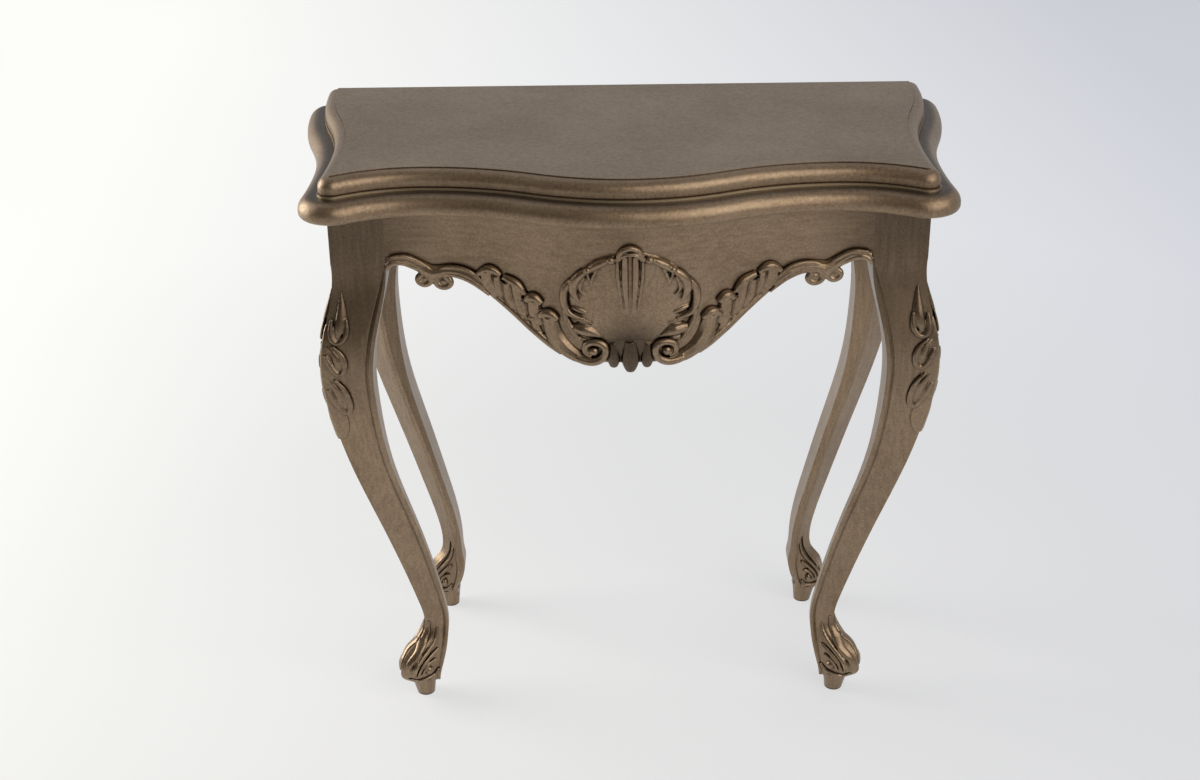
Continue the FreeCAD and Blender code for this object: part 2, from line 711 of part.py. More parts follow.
def bound_box(name, lows, lengths):
    """A cutting box whose corner and sides are expressions."""
    box = doc.addObject("Part::Box", name)
    for axis, low in zip("xyz", lows):
        box.setExpression("Placement.Base." + axis, low)
    for side, length in zip(("Length", "Width", "Height"), lengths):
        box.setExpression(side, length)
    return box


def cut_from(label, base, tools):
    """Cuts each tool from a base in turn, the last result carrying the label."""
    for index, tool in enumerate(tools, 1):
        name = label if index == len(tools) else "%s_cut_%d" % (label, index)
        cut = doc.addObject("Part::Cut", name)
        cut.Base = base
        cut.Tool = tool
        base = cut
    return base


def mirror_of(label, source):
    twin = doc.addObject("Part::Mirroring", label)
    twin.Source = source
    twin.Normal = Vector(1, 0, 0)
    return twin


front_corner = Vector(frame_half_width, front_face_y, 0)
front_place = FreeCAD.Placement(front_corner, FreeCAD.Rotation(Vector(0, 0, 1), -45))
back_place = FreeCAD.Placement(Vector(frame_half_width, back_leg_y, 0), FreeCAD.Rotation())
MORTISE_LOW = TENON_BASE + " - Sizes.joint_clearance"
MORTISE_HEIGHT = "Sizes.tenon_height + 2 * Sizes.joint_clearance"
MORTISE_WIDTH = "Sizes.tenon_thickness + 2 * Sizes.joint_clearance"
HALF_MORTISE = "Sizes.tenon_thickness / 2 - Sizes.joint_clearance"
MORTISE_LENGTH = "Sizes.tenon_length + Sizes.tenon_end_clearance + Sizes.cut_overrun"

front_blank = doc.addObject("Part::Feature", "front_leg_blank")
front_blank.Shape = leg_blank(FRONT_LEG_SHARES)
front_blank.Placement = front_place
front_right_leg = cut_from("front_right_leg", front_blank, (
    bound_box(
        "front_apron_mortise",
        (APRON_END + " - Sizes.cut_overrun", number(apron_tenon_y) + " - " + HALF_MORTISE, MORTISE_LOW),
        (MORTISE_LENGTH, MORTISE_WIDTH, MORTISE_HEIGHT),
    ),
    bound_box(
        "front_side_mortise",
        (
            SIDE_TENON + " - " + HALF_MORTISE,
            number(side_front_y) + " - Sizes.tenon_length - Sizes.tenon_end_clearance",
            MORTISE_LOW,
        ),
        (MORTISE_WIDTH, MORTISE_LENGTH, MORTISE_HEIGHT),
    ),
))
front_left_leg = mirror_of("front_left_leg", front_right_leg)

back_blank = doc.addObject("Part::Feature", "back_leg_blank")
back_blank.Shape = leg_blank(BACK_LEG_SHARES)
back_blank.Placement = back_place
back_right_leg = cut_from("back_right_leg", back_blank, (
    bound_box(
        "back_side_mortise",
        (
            SIDE_TENON + " - Sizes.side_tenon_shift - " + HALF_MORTISE,
            BACK_MITRE + " - Sizes.rail_thickness",
            MORTISE_LOW,
        ),
        (
            MORTISE_WIDTH,
            "Sizes.rail_thickness + Sizes.back_tenon_length + Sizes.tenon_end_clearance",
            MORTISE_HEIGHT,
        ),
    ),
    bound_box(
        "back_rail_mortise",
        (inner_end + " - Sizes.rail_thickness", RAIL_MIDDLE + " - " + HALF_MORTISE, MORTISE_LOW),
        (
            "Sizes.rail_thickness + Sizes.back_rail_thickness / 2 + Sizes.back_tenon_length"
            " + Sizes.tenon_end_clearance",
            MORTISE_WIDTH,
            MORTISE_HEIGHT,
        ),
    ),
    bound_box(
        "back_post_saw",
        ("0", "Sizes.table_depth / 2 - Sizes.leg_back_setback", "0"),
        ("Sizes.table_width", "Sizes.table_depth", "Sizes.table_height"),
    ),
))
back_left_leg = mirror_of("back_left_leg", back_right_leg)

# Knee leaves: three lobes a side over a pointed tongue, wrapped round the knee's corner.
# Each lobe: its crest and its end, as shares of the half breadth and of the length.
KNEE_LOBE_SHARES = (
    ((0.5, 0.08), (0.5, 0.22)),
    ((0.85, 0.3), (0.55, 0.4)),
    ((1, 0.5), (0.62, 0.6)),
    ((0.72, 0.8), (0, 1)),
)


def knee_skin(form):
    """A V-shaped skin over the two show faces, clear of the leg."""
    gap = size("carving_clearance")
    levels = []
    for corners in leg_levels(form):
        tip, end = corners[0], corners[2]
        along = (end - tip).normalize()
        out = Vector(along.y, -along.x, 0)
        half = []
        for grow in (gap, size("knee_leaf_thickness") + gap):
            half += [tip + Vector(grow / out.x, 0, 0), end + out * grow]
        inner_tip, inner_end, outer_tip, outer_end = half
        other = [Vector(p.x, -p.y, p.z) for p in (inner_end, outer_end)]
        levels.append([outer_tip, outer_end, inner_end, inner_tip] + other)
    ends = [Part.Face(closed_wire(levels[0])), Part.Face(closed_wire(levels[-1]))]
    return sewn_solid(smooth_strips(levels) + ends)


def knee_leaf(form):
    """A leaf cut from the skin over the knee to its lobed outline."""
    top = leg_height - size("knee_leaf_top_drop")
    start = Vector(0, 0, top)
    edges = []
    for shares in KNEE_LOBE_SHARES:
        middle, end = [
            Vector(0, across * size("knee_leaf_half_breadth"), top - down * size("knee_leaf_length"))
            for across, down in shares
        ]
        for side in (1, -1):
            points = [Vector(p.x, side * p.y, p.z) for p in (start, middle, end)]
            edges.append(Part.Arc(*points).toShape())
        start = end
    outline = Part.Face(Part.Wire(Part.__sortEdges__(edges)))
    outline.translate(Vector(-size("leg_sweep"), 0, 0))
    prism = outline.extrude(Vector(2 * size("leg_sweep"), 0, 0))
    return knee_skin(form).common(prism)


knee_leaves = []
for end_name, place, form in (
    ("front", front_place, FRONT_LEG_SHARES),
    ("back", back_place, BACK_LEG_SHARES),
):
    leaf = doc.addObject("Part::Feature", end_name + "_right_knee_leaf")
    leaf.Shape = knee_leaf(form)
    leaf.Placement = place
    knee_leaves.append(leaf)
    knee_leaves.append(mirror_of(end_name + "_left_knee_leaf", leaf))


# Carvings on the front apron: cut from layers that follow its serpentine face.
def front_layer(low, high):
    """A solid layer in front of the apron, between two distances from its face."""
    near = size("apron_inset") - low
    far = size("apron_inset") - high
    edges = [edge.toShape() for edge in front_strip(near, far, post_inner_x)]
    face = Part.Face(Part.Wire(Part.__sortEdges__(edges)))
    face.translate(Vector(0, 0, apron_bottom - size("shell_height")))
    return face.extrude(Vector(0, 0, size("shell_height") + size("apron_drop")))


def elevation_prism(edges):
    """A solid through the front of the table from an outline drawn in its elevation."""
    shapes = [edge.toShape() for edge in edges]
    face = Part.Face(Part.Wire(Part.__sortEdges__(shapes)))
    face.rotate(Vector(0, 0, 0), Vector(1, 0, 0), 90)
    return face.extrude(Vector(0, -size("table_depth"), 0))


def disc_prism(centre, radius):
    return elevation_prism([Part.Circle(centre, Vector(0, 0, 1), radius)])


def carved_layer(prism, thickness):
    """The part of a prism that stands on the apron's face with one thickness."""
    return prism.common(front_layer(size("carving_clearance"), thickness))


# Scroll beads: a bead along the two arches next to each leg, with twin volutes under the
# point where the arches meet, placed by shares of the volute's radius.
BEAD_VOLUTE_SHARES = ((0.77, -0.76), (-1.32, -0.76))


arch_meeting = apron_point(LOWER_EDGE_SHARES[0][1])


def scroll_bead():
    low = lower_edge(-size("carving_overhang"))[:2]
    high = lower_edge(size("bead_height"))[:2]
    edges = [Part.Arc(*arc) for arc in low + high]
    edges.append(line(low[0][0], high[0][0]))
    edges.append(line(low[-1][2], high[-1][2]))
    shape = carved_layer(elevation_prism(edges), size("bead_thickness"))
    radius = size("bead_volute_radius")
    for across, up in BEAD_VOLUTE_SHARES:
        disc = disc_prism(arch_meeting + Vector(across * radius, up * radius, 0), radius)
        shape = shape.fuse(carved_layer(disc, size("bead_volute_thickness")))
    return shape.removeSplitter()


# Leaf scrolls: overlapping leaves along the sloping edge, rolled into a large volute.
# Each leaf: its rise above its chord, a share of the chord, and the end of its upper edge,
# as shares of the half span and the drop.
LEAF_START_SHARES = (0.6, 0.5)
LEAF_LOBE_SHARES = (
    (0.5, (0.516, 0.46)),
    (0.42, (0.431, 0.539)),
    (0.38, (0.3555, 0.639)),
    (0.34, (0.294, 0.733)),
    (0.06, (0.2, 0.905)),
)
SCROLL_SHARES = (0.157, 0.928)
scroll_centre = apron_point(SCROLL_SHARES)


def leaf_scroll():
    start = apron_point(LEAF_START_SHARES)
    edges = []
    last = start
    for rise, shares in LEAF_LOBE_SHARES:
        end = apron_point(shares)
        chord = end - last
        crest = (last + end) / 2 + Vector(chord.y, -chord.x, 0) * rise
        edges.append(Part.Arc(last, crest, end))
        last = end
    below = lower_edge(-size("carving_overhang"))[2:]
    edges += [Part.Arc(*arc) for arc in below]
    edges.append(line(start, below[0][0]))
    edges.append(line(last, below[-1][2]))
    shape = carved_layer(elevation_prism(edges), size("leaf_lobe_thickness"))
    low = lower_edge(-size("carving_overhang") - overrun)[2:]
    high = lower_edge(size("leaf_band_width"))[2:]
    band = [Part.Arc(*arc) for arc in low + high]
    band.append(line(low[0][0], high[0][0]))
    band.append(line(low[-1][2], high[-1][2]))
    rebate = front_layer(size("leaf_strip_thickness"), size("leaf_lobe_thickness") + overrun)
    shape = shape.cut(elevation_prism(band).common(rebate))
    disc = carved_layer(disc_prism(scroll_centre, size("scroll_radius")), size("scroll_thickness"))
    eye = size("scroll_eye_radius")
    ring_radius = (size("scroll_radius") + eye) / 2
    ring = disc_prism(scroll_centre, ring_radius).cut(disc_prism(scroll_centre, eye))
    depth = size("scroll_thickness") - size("scroll_groove_depth")
    groove = front_layer(depth, size("scroll_thickness") + overrun)
    return shape.fuse(disc).cut(ring.common(groove)).removeSplitter()


carvings = []
for name, maker in (("scroll_bead", scroll_bead), ("leaf_scroll", leaf_scroll)):
    carving = doc.addObject("Part::Feature", "right_" + name)
    carving.Shape = maker()
    carvings.append(carving)
    carvings.append(mirror_of("left_" + name, carving))

# Apron shell: a lobed, dished shell with three ribs above and three small drops below.
SHELL_LOBE_COUNT = 13
SHELL_ARC_DEGREES = 256
SHELL_NOTCH_SHARE = 0.93
SHELL_DROP_SHARES = (
    ((0.28, 0.93), (0.14, 0.93)),
    ((0, 1), (-0.14, 0.93)),
    ((-0.28, 0.93), (-0.42, 0.87)),
)
SHELL_FIRST_DROP_SHARES = (0.42, 0.87)
SHELL_CENTRE_SHARE = 0.45
SHELL_RIB_SHARES = (-0.17, 0, 0.17)
shell_top = leg_height - size("shell_top_margin")
shell_middle = Vector(0, shell_top - SHELL_CENTRE_SHARE * size("shell_height"), 0)
shell_half = Vector(size("shell_width") / 2, SHELL_CENTRE_SHARE * size("shell_height"), 0)


def shell_point(degrees, share):
    angle = math.radians(degrees)
    spoke = Vector(shell_half.x * math.cos(angle), shell_half.y * math.sin(angle), 0)
    return shell_middle + spoke * share


def apron_shell_shape():
    first = 90 - SHELL_ARC_DEGREES / 2
    step_degrees = SHELL_ARC_DEGREES / SHELL_LOBE_COUNT
    edges = []
    for lobe in range(SHELL_LOBE_COUNT):
        turn = first + lobe * step_degrees
        edges.append(Part.Arc(
            shell_point(turn, SHELL_NOTCH_SHARE),
            shell_point(turn + step_degrees / 2, 1),
            shell_point(turn + step_degrees, SHELL_NOTCH_SHARE),
        ))

    def drop_point(shares):
        return Vector(shares[0] * shell_half.x, shell_top - shares[1] * size("shell_height"), 0)

    last = drop_point(SHELL_FIRST_DROP_SHARES)
    edges.append(line(shell_point(first, SHELL_NOTCH_SHARE), last))
    for middle, end in SHELL_DROP_SHARES:
        edges.append(Part.Arc(last, drop_point(middle), drop_point(end)))
        last = drop_point(end)
    edges.append(line(last, shell_point(first + SHELL_ARC_DEGREES, SHELL_NOTCH_SHARE)))
    shape = carved_layer(elevation_prism(edges), size("shell_thickness"))
    inner = shell_half - Vector(size("shell_rim_width"), size("shell_rim_width"), 0)
    ends = sorted((Vector(inner.x, 0, 0), Vector(0, inner.y, 0)), key=lambda axis: -axis.Length)
    dish = elevation_prism([Part.Ellipse(shell_middle + ends[0], shell_middle + ends[1], shell_middle)])
    floor = size("shell_thickness") - size("shell_dish_depth")
    hollow = front_layer(floor, size("shell_thickness") + overrun)
    shape = shape.cut(dish.common(hollow))
    for share in SHELL_RIB_SHARES:
        foot = shell_middle + Vector(share * shell_half.x / 2, 0, 0)
        head = shell_middle + Vector(share * shell_half.x, (shell_half.y + inner.y) / 2, 0)
        spread = Vector(size("shell_rib_width") / 2, 0, 0)
        rib = [line(foot, head - spread), line(head - spread, head + spread), line(head + spread, foot)]
        shape = shape.fuse(carved_layer(elevation_prism(rib), size("shell_rib_height")))
    for side in (1, -1):
        centre = Vector(side * scroll_centre.x, scroll_centre.y, 0)
        shape = shape.cut(disc_prism(centre, size("scroll_radius") + size("carving_clearance")))
    return shape.removeSplitter()


apron_shell = doc.addObject("Part::Feature", "apron_shell")
apron_shell.Shape = apron_shell_shape()
carvings.append(apron_shell)

# Fixing blocks: plain blocks glued inside the rails, each with a screw hole.
blocks = []
for label, x, y, turned in block_places:
    block = new_body(label)
    plan = new_sketch(block, label + "_plan", "XY_Plane", LEG_TOP + " - Sizes.block_height")
    along, across = ("block_depth", "block_length") if turned else ("block_length", "block_depth")
    draw_box(
        plan,
        "%s - Sizes.%s / 2" % (number(x), along),
        "%s + Sizes.%s / 2" % (number(x), along),
        "%s - Sizes.%s / 2" % (number(y), across),
        "%s + Sizes.%s / 2" % (number(y), across),
    )
    add_pad(block, plan, "Sizes.block_height")
    hole = new_sketch(block, label + "_hole", "XY_Plane", LEG_TOP)
    draw_circles(hole, ((x, y),), "Sizes.screw_shank_diameter + 2 * Sizes.screw_clearance")
    add_pocket(block, hole, "Sizes.block_height + Sizes.cut_overrun")
    if label.startswith("front"):
        front_line_cut = new_sketch(block, label + "_face", "XY_Plane", LEG_TOP)
        seat = apron_far + size("carving_clearance")
        draw_edges(front_line_cut, front_strip(size("apron_inset"), seat, post_inner_x))
        add_pocket(block, front_line_cut, "Sizes.block_height + Sizes.cut_overrun")
    blocks.append(block)


# Screws: round heads below, plain shanks with a tapered tip, standing upright.
SCREW_TIP_SHARE = 0.25


def screw(x, y, seat, length):
    tip = size("screw_tip_length")
    radius = size("screw_shank_diameter") / 2
    head = Part.makeCylinder(size("screw_head_diameter") / 2, size("screw_head_height"),
                             Vector(x, y, seat - size("screw_head_height")))
    shank = Part.makeCylinder(radius, length - tip, Vector(x, y, seat))
    point = Part.makeCone(radius, SCREW_TIP_SHARE * radius, tip, Vector(x, y, seat + length - tip))
    return head.fuse([shank, point]).removeSplitter()


board_screw_seat = leg_height + size("board_screw_counterbore")
block_screw_seat = leg_height - size("block_height")
screw_groups = []
for label, places, seat, length in (
    ("board_screws", board_screw_places, board_screw_seat, size("board_screw_length")),
    ("block_screws", block_screw_places, block_screw_seat, size("block_screw_length")),
):
    group = doc.addObject("Part::Feature", label)
    group.Shape = Part.makeCompound([screw(x, y, seat, length) for x, y in places])
    screw_groups.append(group)

doc.recompute()

# Every sub-part is checked before any file is written.
nodes = [top_board, under_board, front_apron, back_rail]
nodes += side_aprons + [front_right_leg, front_left_leg, back_right_leg, back_left_leg]
nodes += knee_leaves + carvings + blocks + screw_groups
for item in doc.Objects:
    if "Invalid" in item.State or "Error" in item.State:
        raise RuntimeError("%s failed: %s" % (item.Name, item.State))
for node in nodes:
    if node.Shape.isNull() or not node.Shape.isValid():
        raise RuntimeError("%s has no valid shape" % node.Label)

os.makedirs("parts", exist_ok=True)
for node in nodes:
    node.Shape.exportStep("parts/%s.step" % node.Label)
    print(node.Label, len(node.Shape.Solids), "%.0f" % node.Shape.Volume)
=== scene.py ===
import math
import bmesh
import bpy
from mathutils import Euler, Matrix, Vector
from mathutils.bvhtree import BVHTree


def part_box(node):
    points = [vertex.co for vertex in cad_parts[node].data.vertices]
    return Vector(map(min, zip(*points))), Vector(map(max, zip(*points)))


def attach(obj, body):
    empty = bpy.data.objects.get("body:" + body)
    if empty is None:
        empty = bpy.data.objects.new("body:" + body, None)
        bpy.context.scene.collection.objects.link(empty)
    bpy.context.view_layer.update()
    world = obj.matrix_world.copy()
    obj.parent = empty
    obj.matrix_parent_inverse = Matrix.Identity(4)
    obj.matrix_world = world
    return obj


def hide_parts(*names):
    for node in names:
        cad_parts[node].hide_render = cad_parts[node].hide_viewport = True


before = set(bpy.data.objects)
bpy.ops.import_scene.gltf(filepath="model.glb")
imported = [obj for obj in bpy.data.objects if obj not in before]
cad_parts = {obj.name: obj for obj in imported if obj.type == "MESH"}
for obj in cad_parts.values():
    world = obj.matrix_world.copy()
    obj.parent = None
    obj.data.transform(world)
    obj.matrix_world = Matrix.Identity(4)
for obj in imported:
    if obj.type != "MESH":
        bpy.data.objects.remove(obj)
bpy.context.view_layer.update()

# Boards: two moulded wooden boards, the upper one screwed down on the wider lower one.
# Both are shaped with round noses and brushed with satin bronze paint; a thin band along the
# low arris of each nose is painted lighter, and dark glaze and painted shade darken the hollow
# between them.
MM = 0.001
PAINT_SHADE = "7E6953"
PAINT_LIGHT = "9A856D"
# The light edge colour is partly rubbed wear and partly a painted highlight.
PAINT_WORN_AND_HIGHLIGHT = "D9C7A4"
# The dark colour is glaze in the recesses and also painted shade on the ledge and under the boards.
GLAZE_AND_SHADE_DARK = "20150B"
STREAK_WIDTH_MM = 5
STREAK_LENGTH_MM = 60
CLOUD_MM = 140
# The real paint's flakes are finer than 0.1 mm and are drawn this coarse so that they show.
FLAKE_MM = 2.8
FLAKE_RELIEF_MM = 0.1
GLAZE_REACH_MM = 4
# The band painted lighter above the arris and the painted shade below the ledge, in millimetres.
LIGHT_BAND_MM = 3
LEDGE_SHADE_MM = 2.6
# Each span runs from where a coat of paint or glaze starts to where it is at its full share.
SPECKLE_SPAN = (1.2, 1.8)
WORN_AND_HIGHLIGHT_SPAN = (0.53, 0.62)
CARVED_RECESS_SPAN = (0.94, 0.5)
PLAIN_RECESS_SPAN = (0.8, 0.5)
POOL_CORE_SHARE = 0.4
POOL_SHARE = 0.72
GLAZE_AND_SHADE_SHARE = 0.6
LIGHT_BAND_SHARE = 0.9
LEDGE_SHADE_SHARE = 0.75
SATIN_SPAN = (0.6, 1.4)
SATIN_ROUGHER = 0.05
SATIN_SMOOTHER = 0.04
MIX_FACTOR, MIX_A, MIX_B, MIX_RESULT = 0, 6, 7, 2
WELD_MM = 0.01
SHARP_DEGREES = 40
BOARD_ARRIS_MM = 0.6
BOARD_ROUGHNESS = 0.44
BOARD_GLAZE = 0.85


def linear(code):
    """A linear colour with full alpha from an sRGB hex code."""
    shares = [int(code[place:place + 2], 16) / 255 for place in (0, 2, 4)]
    light = [s / 12.92 if s <= 0.04045 else ((s + 0.055) / 1.055) ** 2.4 for s in shares]
    return (*light, 1)


def add_node(tree, kind, sockets=None, **settings):
    """Adds one shader node, with its settings, and fills or links its input sockets."""
    item = tree.nodes.new(kind)
    for key, value in settings.items():
        setattr(item, key, value)
    for socket, value in (sockets or {}).items():
        if isinstance(value, bpy.types.NodeSocket):
            tree.links.new(value, item.inputs[socket])
        else:
            item.inputs[socket].default_value = value
    return item


def bronze_paint(name, streak_along, roughness, glaze,
                 worn_and_highlight=0, arris=None, shaded_ledge=None, pool=None, glaze_and_shade=None):
    """Bronze powder paint on wood: a satin metal sheen with soft clouds and streaks of the brush,
    dark glaze left in the recesses, and light metal on the edges, partly rubbed wear and partly a
    painted highlight on the crests. A thin band at the arris level is painted lighter, and the
    ledge at another level is painted dark as painted shade. A pool of glaze has a middle and a
    reach, and heavy glaze grows along an axis, between two distances in millimetres; that
    heavier glaze is partly glaze and partly painted shade."""
    material = bpy.data.materials.new(name)
    material.use_nodes = True
    tree = material.node_tree
    tree.nodes.clear()
    place = add_node(tree, "ShaderNodeTexCoord").outputs["Object"]
    axes = add_node(tree, "ShaderNodeSeparateXYZ", {"Vector": place}).outputs
    stretch = [1 / (STREAK_WIDTH_MM * MM)] * 3
    if streak_along:
        stretch["XYZ".index(streak_along)] = 1 / (STREAK_LENGTH_MM * MM)
    along = add_node(tree, "ShaderNodeMapping", {"Vector": place, "Scale": stretch})
    streaks = add_node(tree, "ShaderNodeTexNoise", {
        "Vector": along.outputs[0], "Scale": 1.0, "Detail": 4.0, "Roughness": 0.6})
    clouds = add_node(tree, "ShaderNodeTexNoise", {
        "Vector": place, "Scale": 1 / (CLOUD_MM * MM), "Detail": 6.0, "Roughness": 0.6})
    flakes = add_node(tree, "ShaderNodeTexNoise", {
        "Vector": place, "Scale": 1 / (FLAKE_MM * MM), "Detail": 2.0})
    blend = add_node(tree, "ShaderNodeMath", {
        0: streaks.outputs["Fac"], 1: clouds.outputs["Fac"]}, operation="ADD").outputs[0]
    speckled = add_node(tree, "ShaderNodeMath", {
        0: blend, 1: flakes.outputs["Fac"]}, operation="ADD").outputs[0]
    coats = [(speckled, SPECKLE_SPAN, 1.0, PAINT_LIGHT)]
    # Light metal where the surface is sharpest: partly rubbed wear, partly a painted highlight on the
    # crests.
    if worn_and_highlight:
        edges = add_node(tree, "ShaderNodeNewGeometry").outputs["Pointiness"]
        coats.append((edges, WORN_AND_HIGHLIGHT_SPAN, worn_and_highlight, PAINT_WORN_AND_HIGHLIGHT))
    if pool:
        middle, reach = pool
        away = add_node(tree, "ShaderNodeVectorMath", {0: place, 1: middle}, operation="DISTANCE")
        coats.append((away.outputs["Value"], (reach, POOL_CORE_SHARE * reach), POOL_SHARE, GLAZE_AND_SHADE_DARK))
    # Glaze heavier along an axis: partly glaze, partly painted shade under the boards and near the legs.
    if glaze_and_shade:
        axis, start_mm, end_mm = glaze_and_shade
        outwards = add_node(tree, "ShaderNodeMath", {0: axes[axis]}, operation="ABSOLUTE").outputs[0]
        coats.append((outwards, (start_mm * MM, end_mm * MM), GLAZE_AND_SHADE_SHARE, GLAZE_AND_SHADE_DARK))
    recess = add_node(tree, "ShaderNodeAmbientOcclusion", {"Distance": GLAZE_REACH_MM * MM}, samples=8)
    recess_span = CARVED_RECESS_SPAN if worn_and_highlight else PLAIN_RECESS_SPAN
    coats.append((recess.outputs["AO"], recess_span, glaze, GLAZE_AND_SHADE_DARK))
    # A thin band painted lighter just above the arris level.
    if arris is not None:
        coats.append((axes["Z"], (arris + LIGHT_BAND_MM * MM, arris), LIGHT_BAND_SHARE, PAINT_WORN_AND_HIGHLIGHT))
    # Painted shade: the ledge just below its level is painted dark.
    if shaded_ledge is not None:
        coats.append((axes["Z"], (shaded_ledge - LEDGE_SHADE_MM * MM, shaded_ledge), LEDGE_SHADE_SHARE, GLAZE_AND_SHADE_DARK))
    paint = linear(PAINT_SHADE)
    for value, (start, end), share, colour in coats:
        cover = add_node(tree, "ShaderNodeMapRange", {
            "Value": value, "From Min": start, "From Max": end, "To Max": share})
        coat = add_node(tree, "ShaderNodeMix", {
            MIX_FACTOR: cover.outputs[0], MIX_A: paint, MIX_B: linear(colour)}, data_type="RGBA")
        paint = coat.outputs[MIX_RESULT]
    satin = add_node(tree, "ShaderNodeMapRange", {
        "Value": blend, "From Min": SATIN_SPAN[0], "From Max": SATIN_SPAN[1],
        "To Min": roughness + SATIN_ROUGHER, "To Max": roughness - SATIN_SMOOTHER})
    relief = add_node(tree, "ShaderNodeBump", {
        "Height": flakes.outputs["Fac"], "Strength": 0.25, "Distance": FLAKE_RELIEF_MM * MM})
    shader = add_node(tree, "ShaderNodeBsdfPrincipled", {
        "Base Color": paint, "Metallic": 0.85, "Roughness": satin.outputs[0],
        "Normal": relief.outputs[0], "Coat Weight": 0.25, "Coat Roughness": 0.35})
    add_node(tree, "ShaderNodeOutputMaterial", {"Surface": shader.outputs[0]})
    return material


def finished(name, mesh, material, slot, *nodes):
    """Shows a mesh as a piece that rides on the table and stands for its nodes."""
    piece = bpy.data.objects.new(name, mesh)
    bpy.context.scene.collection.objects.link(piece)
    mesh.materials.clear()
    mesh.materials.append(material)
    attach(piece, "root")
    if nodes:
        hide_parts(*nodes)
    return piece


def welded(node, arris_mm=0):
    """A welded, smooth-shaded copy of a piece's mesh, with its sharp edges eased."""
    sharp_angle = math.radians(SHARP_DEGREES)
    work = bmesh.new()
    work.from_mesh(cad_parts[node].data)
    bmesh.ops.remove_doubles(work, verts=work.verts, dist=WELD_MM * MM)
    bmesh.ops.dissolve_degenerate(work, edges=work.edges, dist=WELD_MM * MM)
    if arris_mm:
        sharp = [e for e in work.edges if e.is_manifold and e.calc_face_angle() > sharp_angle]
        bmesh.ops.bevel(work, geom=sharp, offset=arris_mm * MM, offset_type="OFFSET", segments=2,
                        profile=0.5, affect="EDGES", clamp_overlap=True, material=-1)
    mesh = bpy.data.meshes.new(node + "_painted")
    work.to_mesh(mesh)
    work.free()
    mesh.shade_smooth()
    mesh.set_sharp_from_angle(angle=sharp_angle)
    return mesh


def crisp(piece):
    """Keeps wide flat faces flat where they run into rounded edges."""
    weights = piece.modifiers.new("flat_faces", "WEIGHTED_NORMAL")
    weights.keep_sharp = True


under_low, under_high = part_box("under_board")
top_low, top_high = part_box("top_board")
for board, arris, shaded_ledge in (
    ("top_board", top_low.z, None),
    ("under_board", under_low.z, under_high.z),
):
    board_paint = bronze_paint(
        "bronze_paint_" + board, None, BOARD_ROUGHNESS, BOARD_GLAZE, arris=arris, shaded_ledge=shaded_ledge)
    board_mesh = welded(board, BOARD_ARRIS_MM)
    crisp(finished(board + "_painted", board_mesh, board_paint, "bronze_paint", board))

# Board fillet: the slim square step worked under the nose of the upper board, painted lighter.
# It is a thin slice of the board at its full width, let down to the bottom of the nose.
FILLET_HEIGHT_MM = 2.6
FILLET_REACH_MM = 1.2
FULL_WIDTH_UP_MM = 8
FILLET_ROUGHNESS = 0.42
FILLET_GLAZE = 0.3
slice_level = top_low.z + FULL_WIDTH_UP_MM * MM
work = bmesh.new()
work.from_mesh(welded("top_board"))
for level, keep in ((slice_level, -1), (slice_level + FILLET_HEIGHT_MM * MM, 1)):
    cut = bmesh.ops.bisect_plane(work, geom=work.verts[:] + work.edges[:] + work.faces[:],
                                 plane_co=(0, 0, level), plane_no=(0, 0, keep), clear_outer=True)
    rim = [e for e in cut["geom_cut"] if isinstance(e, bmesh.types.BMEdge)]
    bmesh.ops.edgeloop_fill(work, edges=rim)
middle = (top_low + top_high) / 2
wider = [1 + FILLET_REACH_MM * MM / (top_high[axis] - middle[axis]) for axis in (0, 1)]
bmesh.ops.translate(work, verts=work.verts, vec=(0, -middle.y, top_low.z - slice_level))
bmesh.ops.scale(work, verts=work.verts, vec=(wider[0], wider[1], 1))
bmesh.ops.translate(work, verts=work.verts, vec=(0, middle.y - FILLET_REACH_MM * MM, 0))
fillet_mesh = bpy.data.meshes.new("top_board_fillet")
work.to_mesh(fillet_mesh)
work.free()
fillet_paint = bronze_paint("bronze_paint_fillet", None, FILLET_ROUGHNESS, FILLET_GLAZE, arris=top_low.z)
finished("top_board_fillet", fillet_mesh, fillet_paint, "bronze_paint")

# Frame: a serpentine front apron, two side aprons and a plain back rail, tenoned into the
# leg posts. All solid wood under the same paint, brushed along each rail; the glaze is
# heavier towards the ends of the front and towards the top of the sides, partly as glaze
# and partly as painted shade near the legs and under the boards.
RAIL_ROUGHNESS = 0.39
RAIL_GLAZE = 0.95
# Darker outwards and upwards: partly glaze, partly painted shade.
GLAZE_AND_SHADE_OUTWARDS = ("X", 220, 310)
GLAZE_AND_SHADE_UPWARDS = ("Z", 460, 700)
front_paint = bronze_paint("bronze_paint_front", "X", RAIL_ROUGHNESS, RAIL_GLAZE, glaze_and_shade=GLAZE_AND_SHADE_OUTWARDS)
side_paint = bronze_paint("bronze_paint_sides", "Y", RAIL_ROUGHNESS, RAIL_GLAZE, glaze_and_shade=GLAZE_AND_SHADE_UPWARDS)
for rail, paint in (
    ("front_apron", front_paint),
    ("back_rail", front_paint),
    ("left_side_apron", side_paint),
    ("right_side_apron", side_paint),
):
    crisp(finished(rail + "_painted", welded(rail), paint, "bronze_paint", rail))

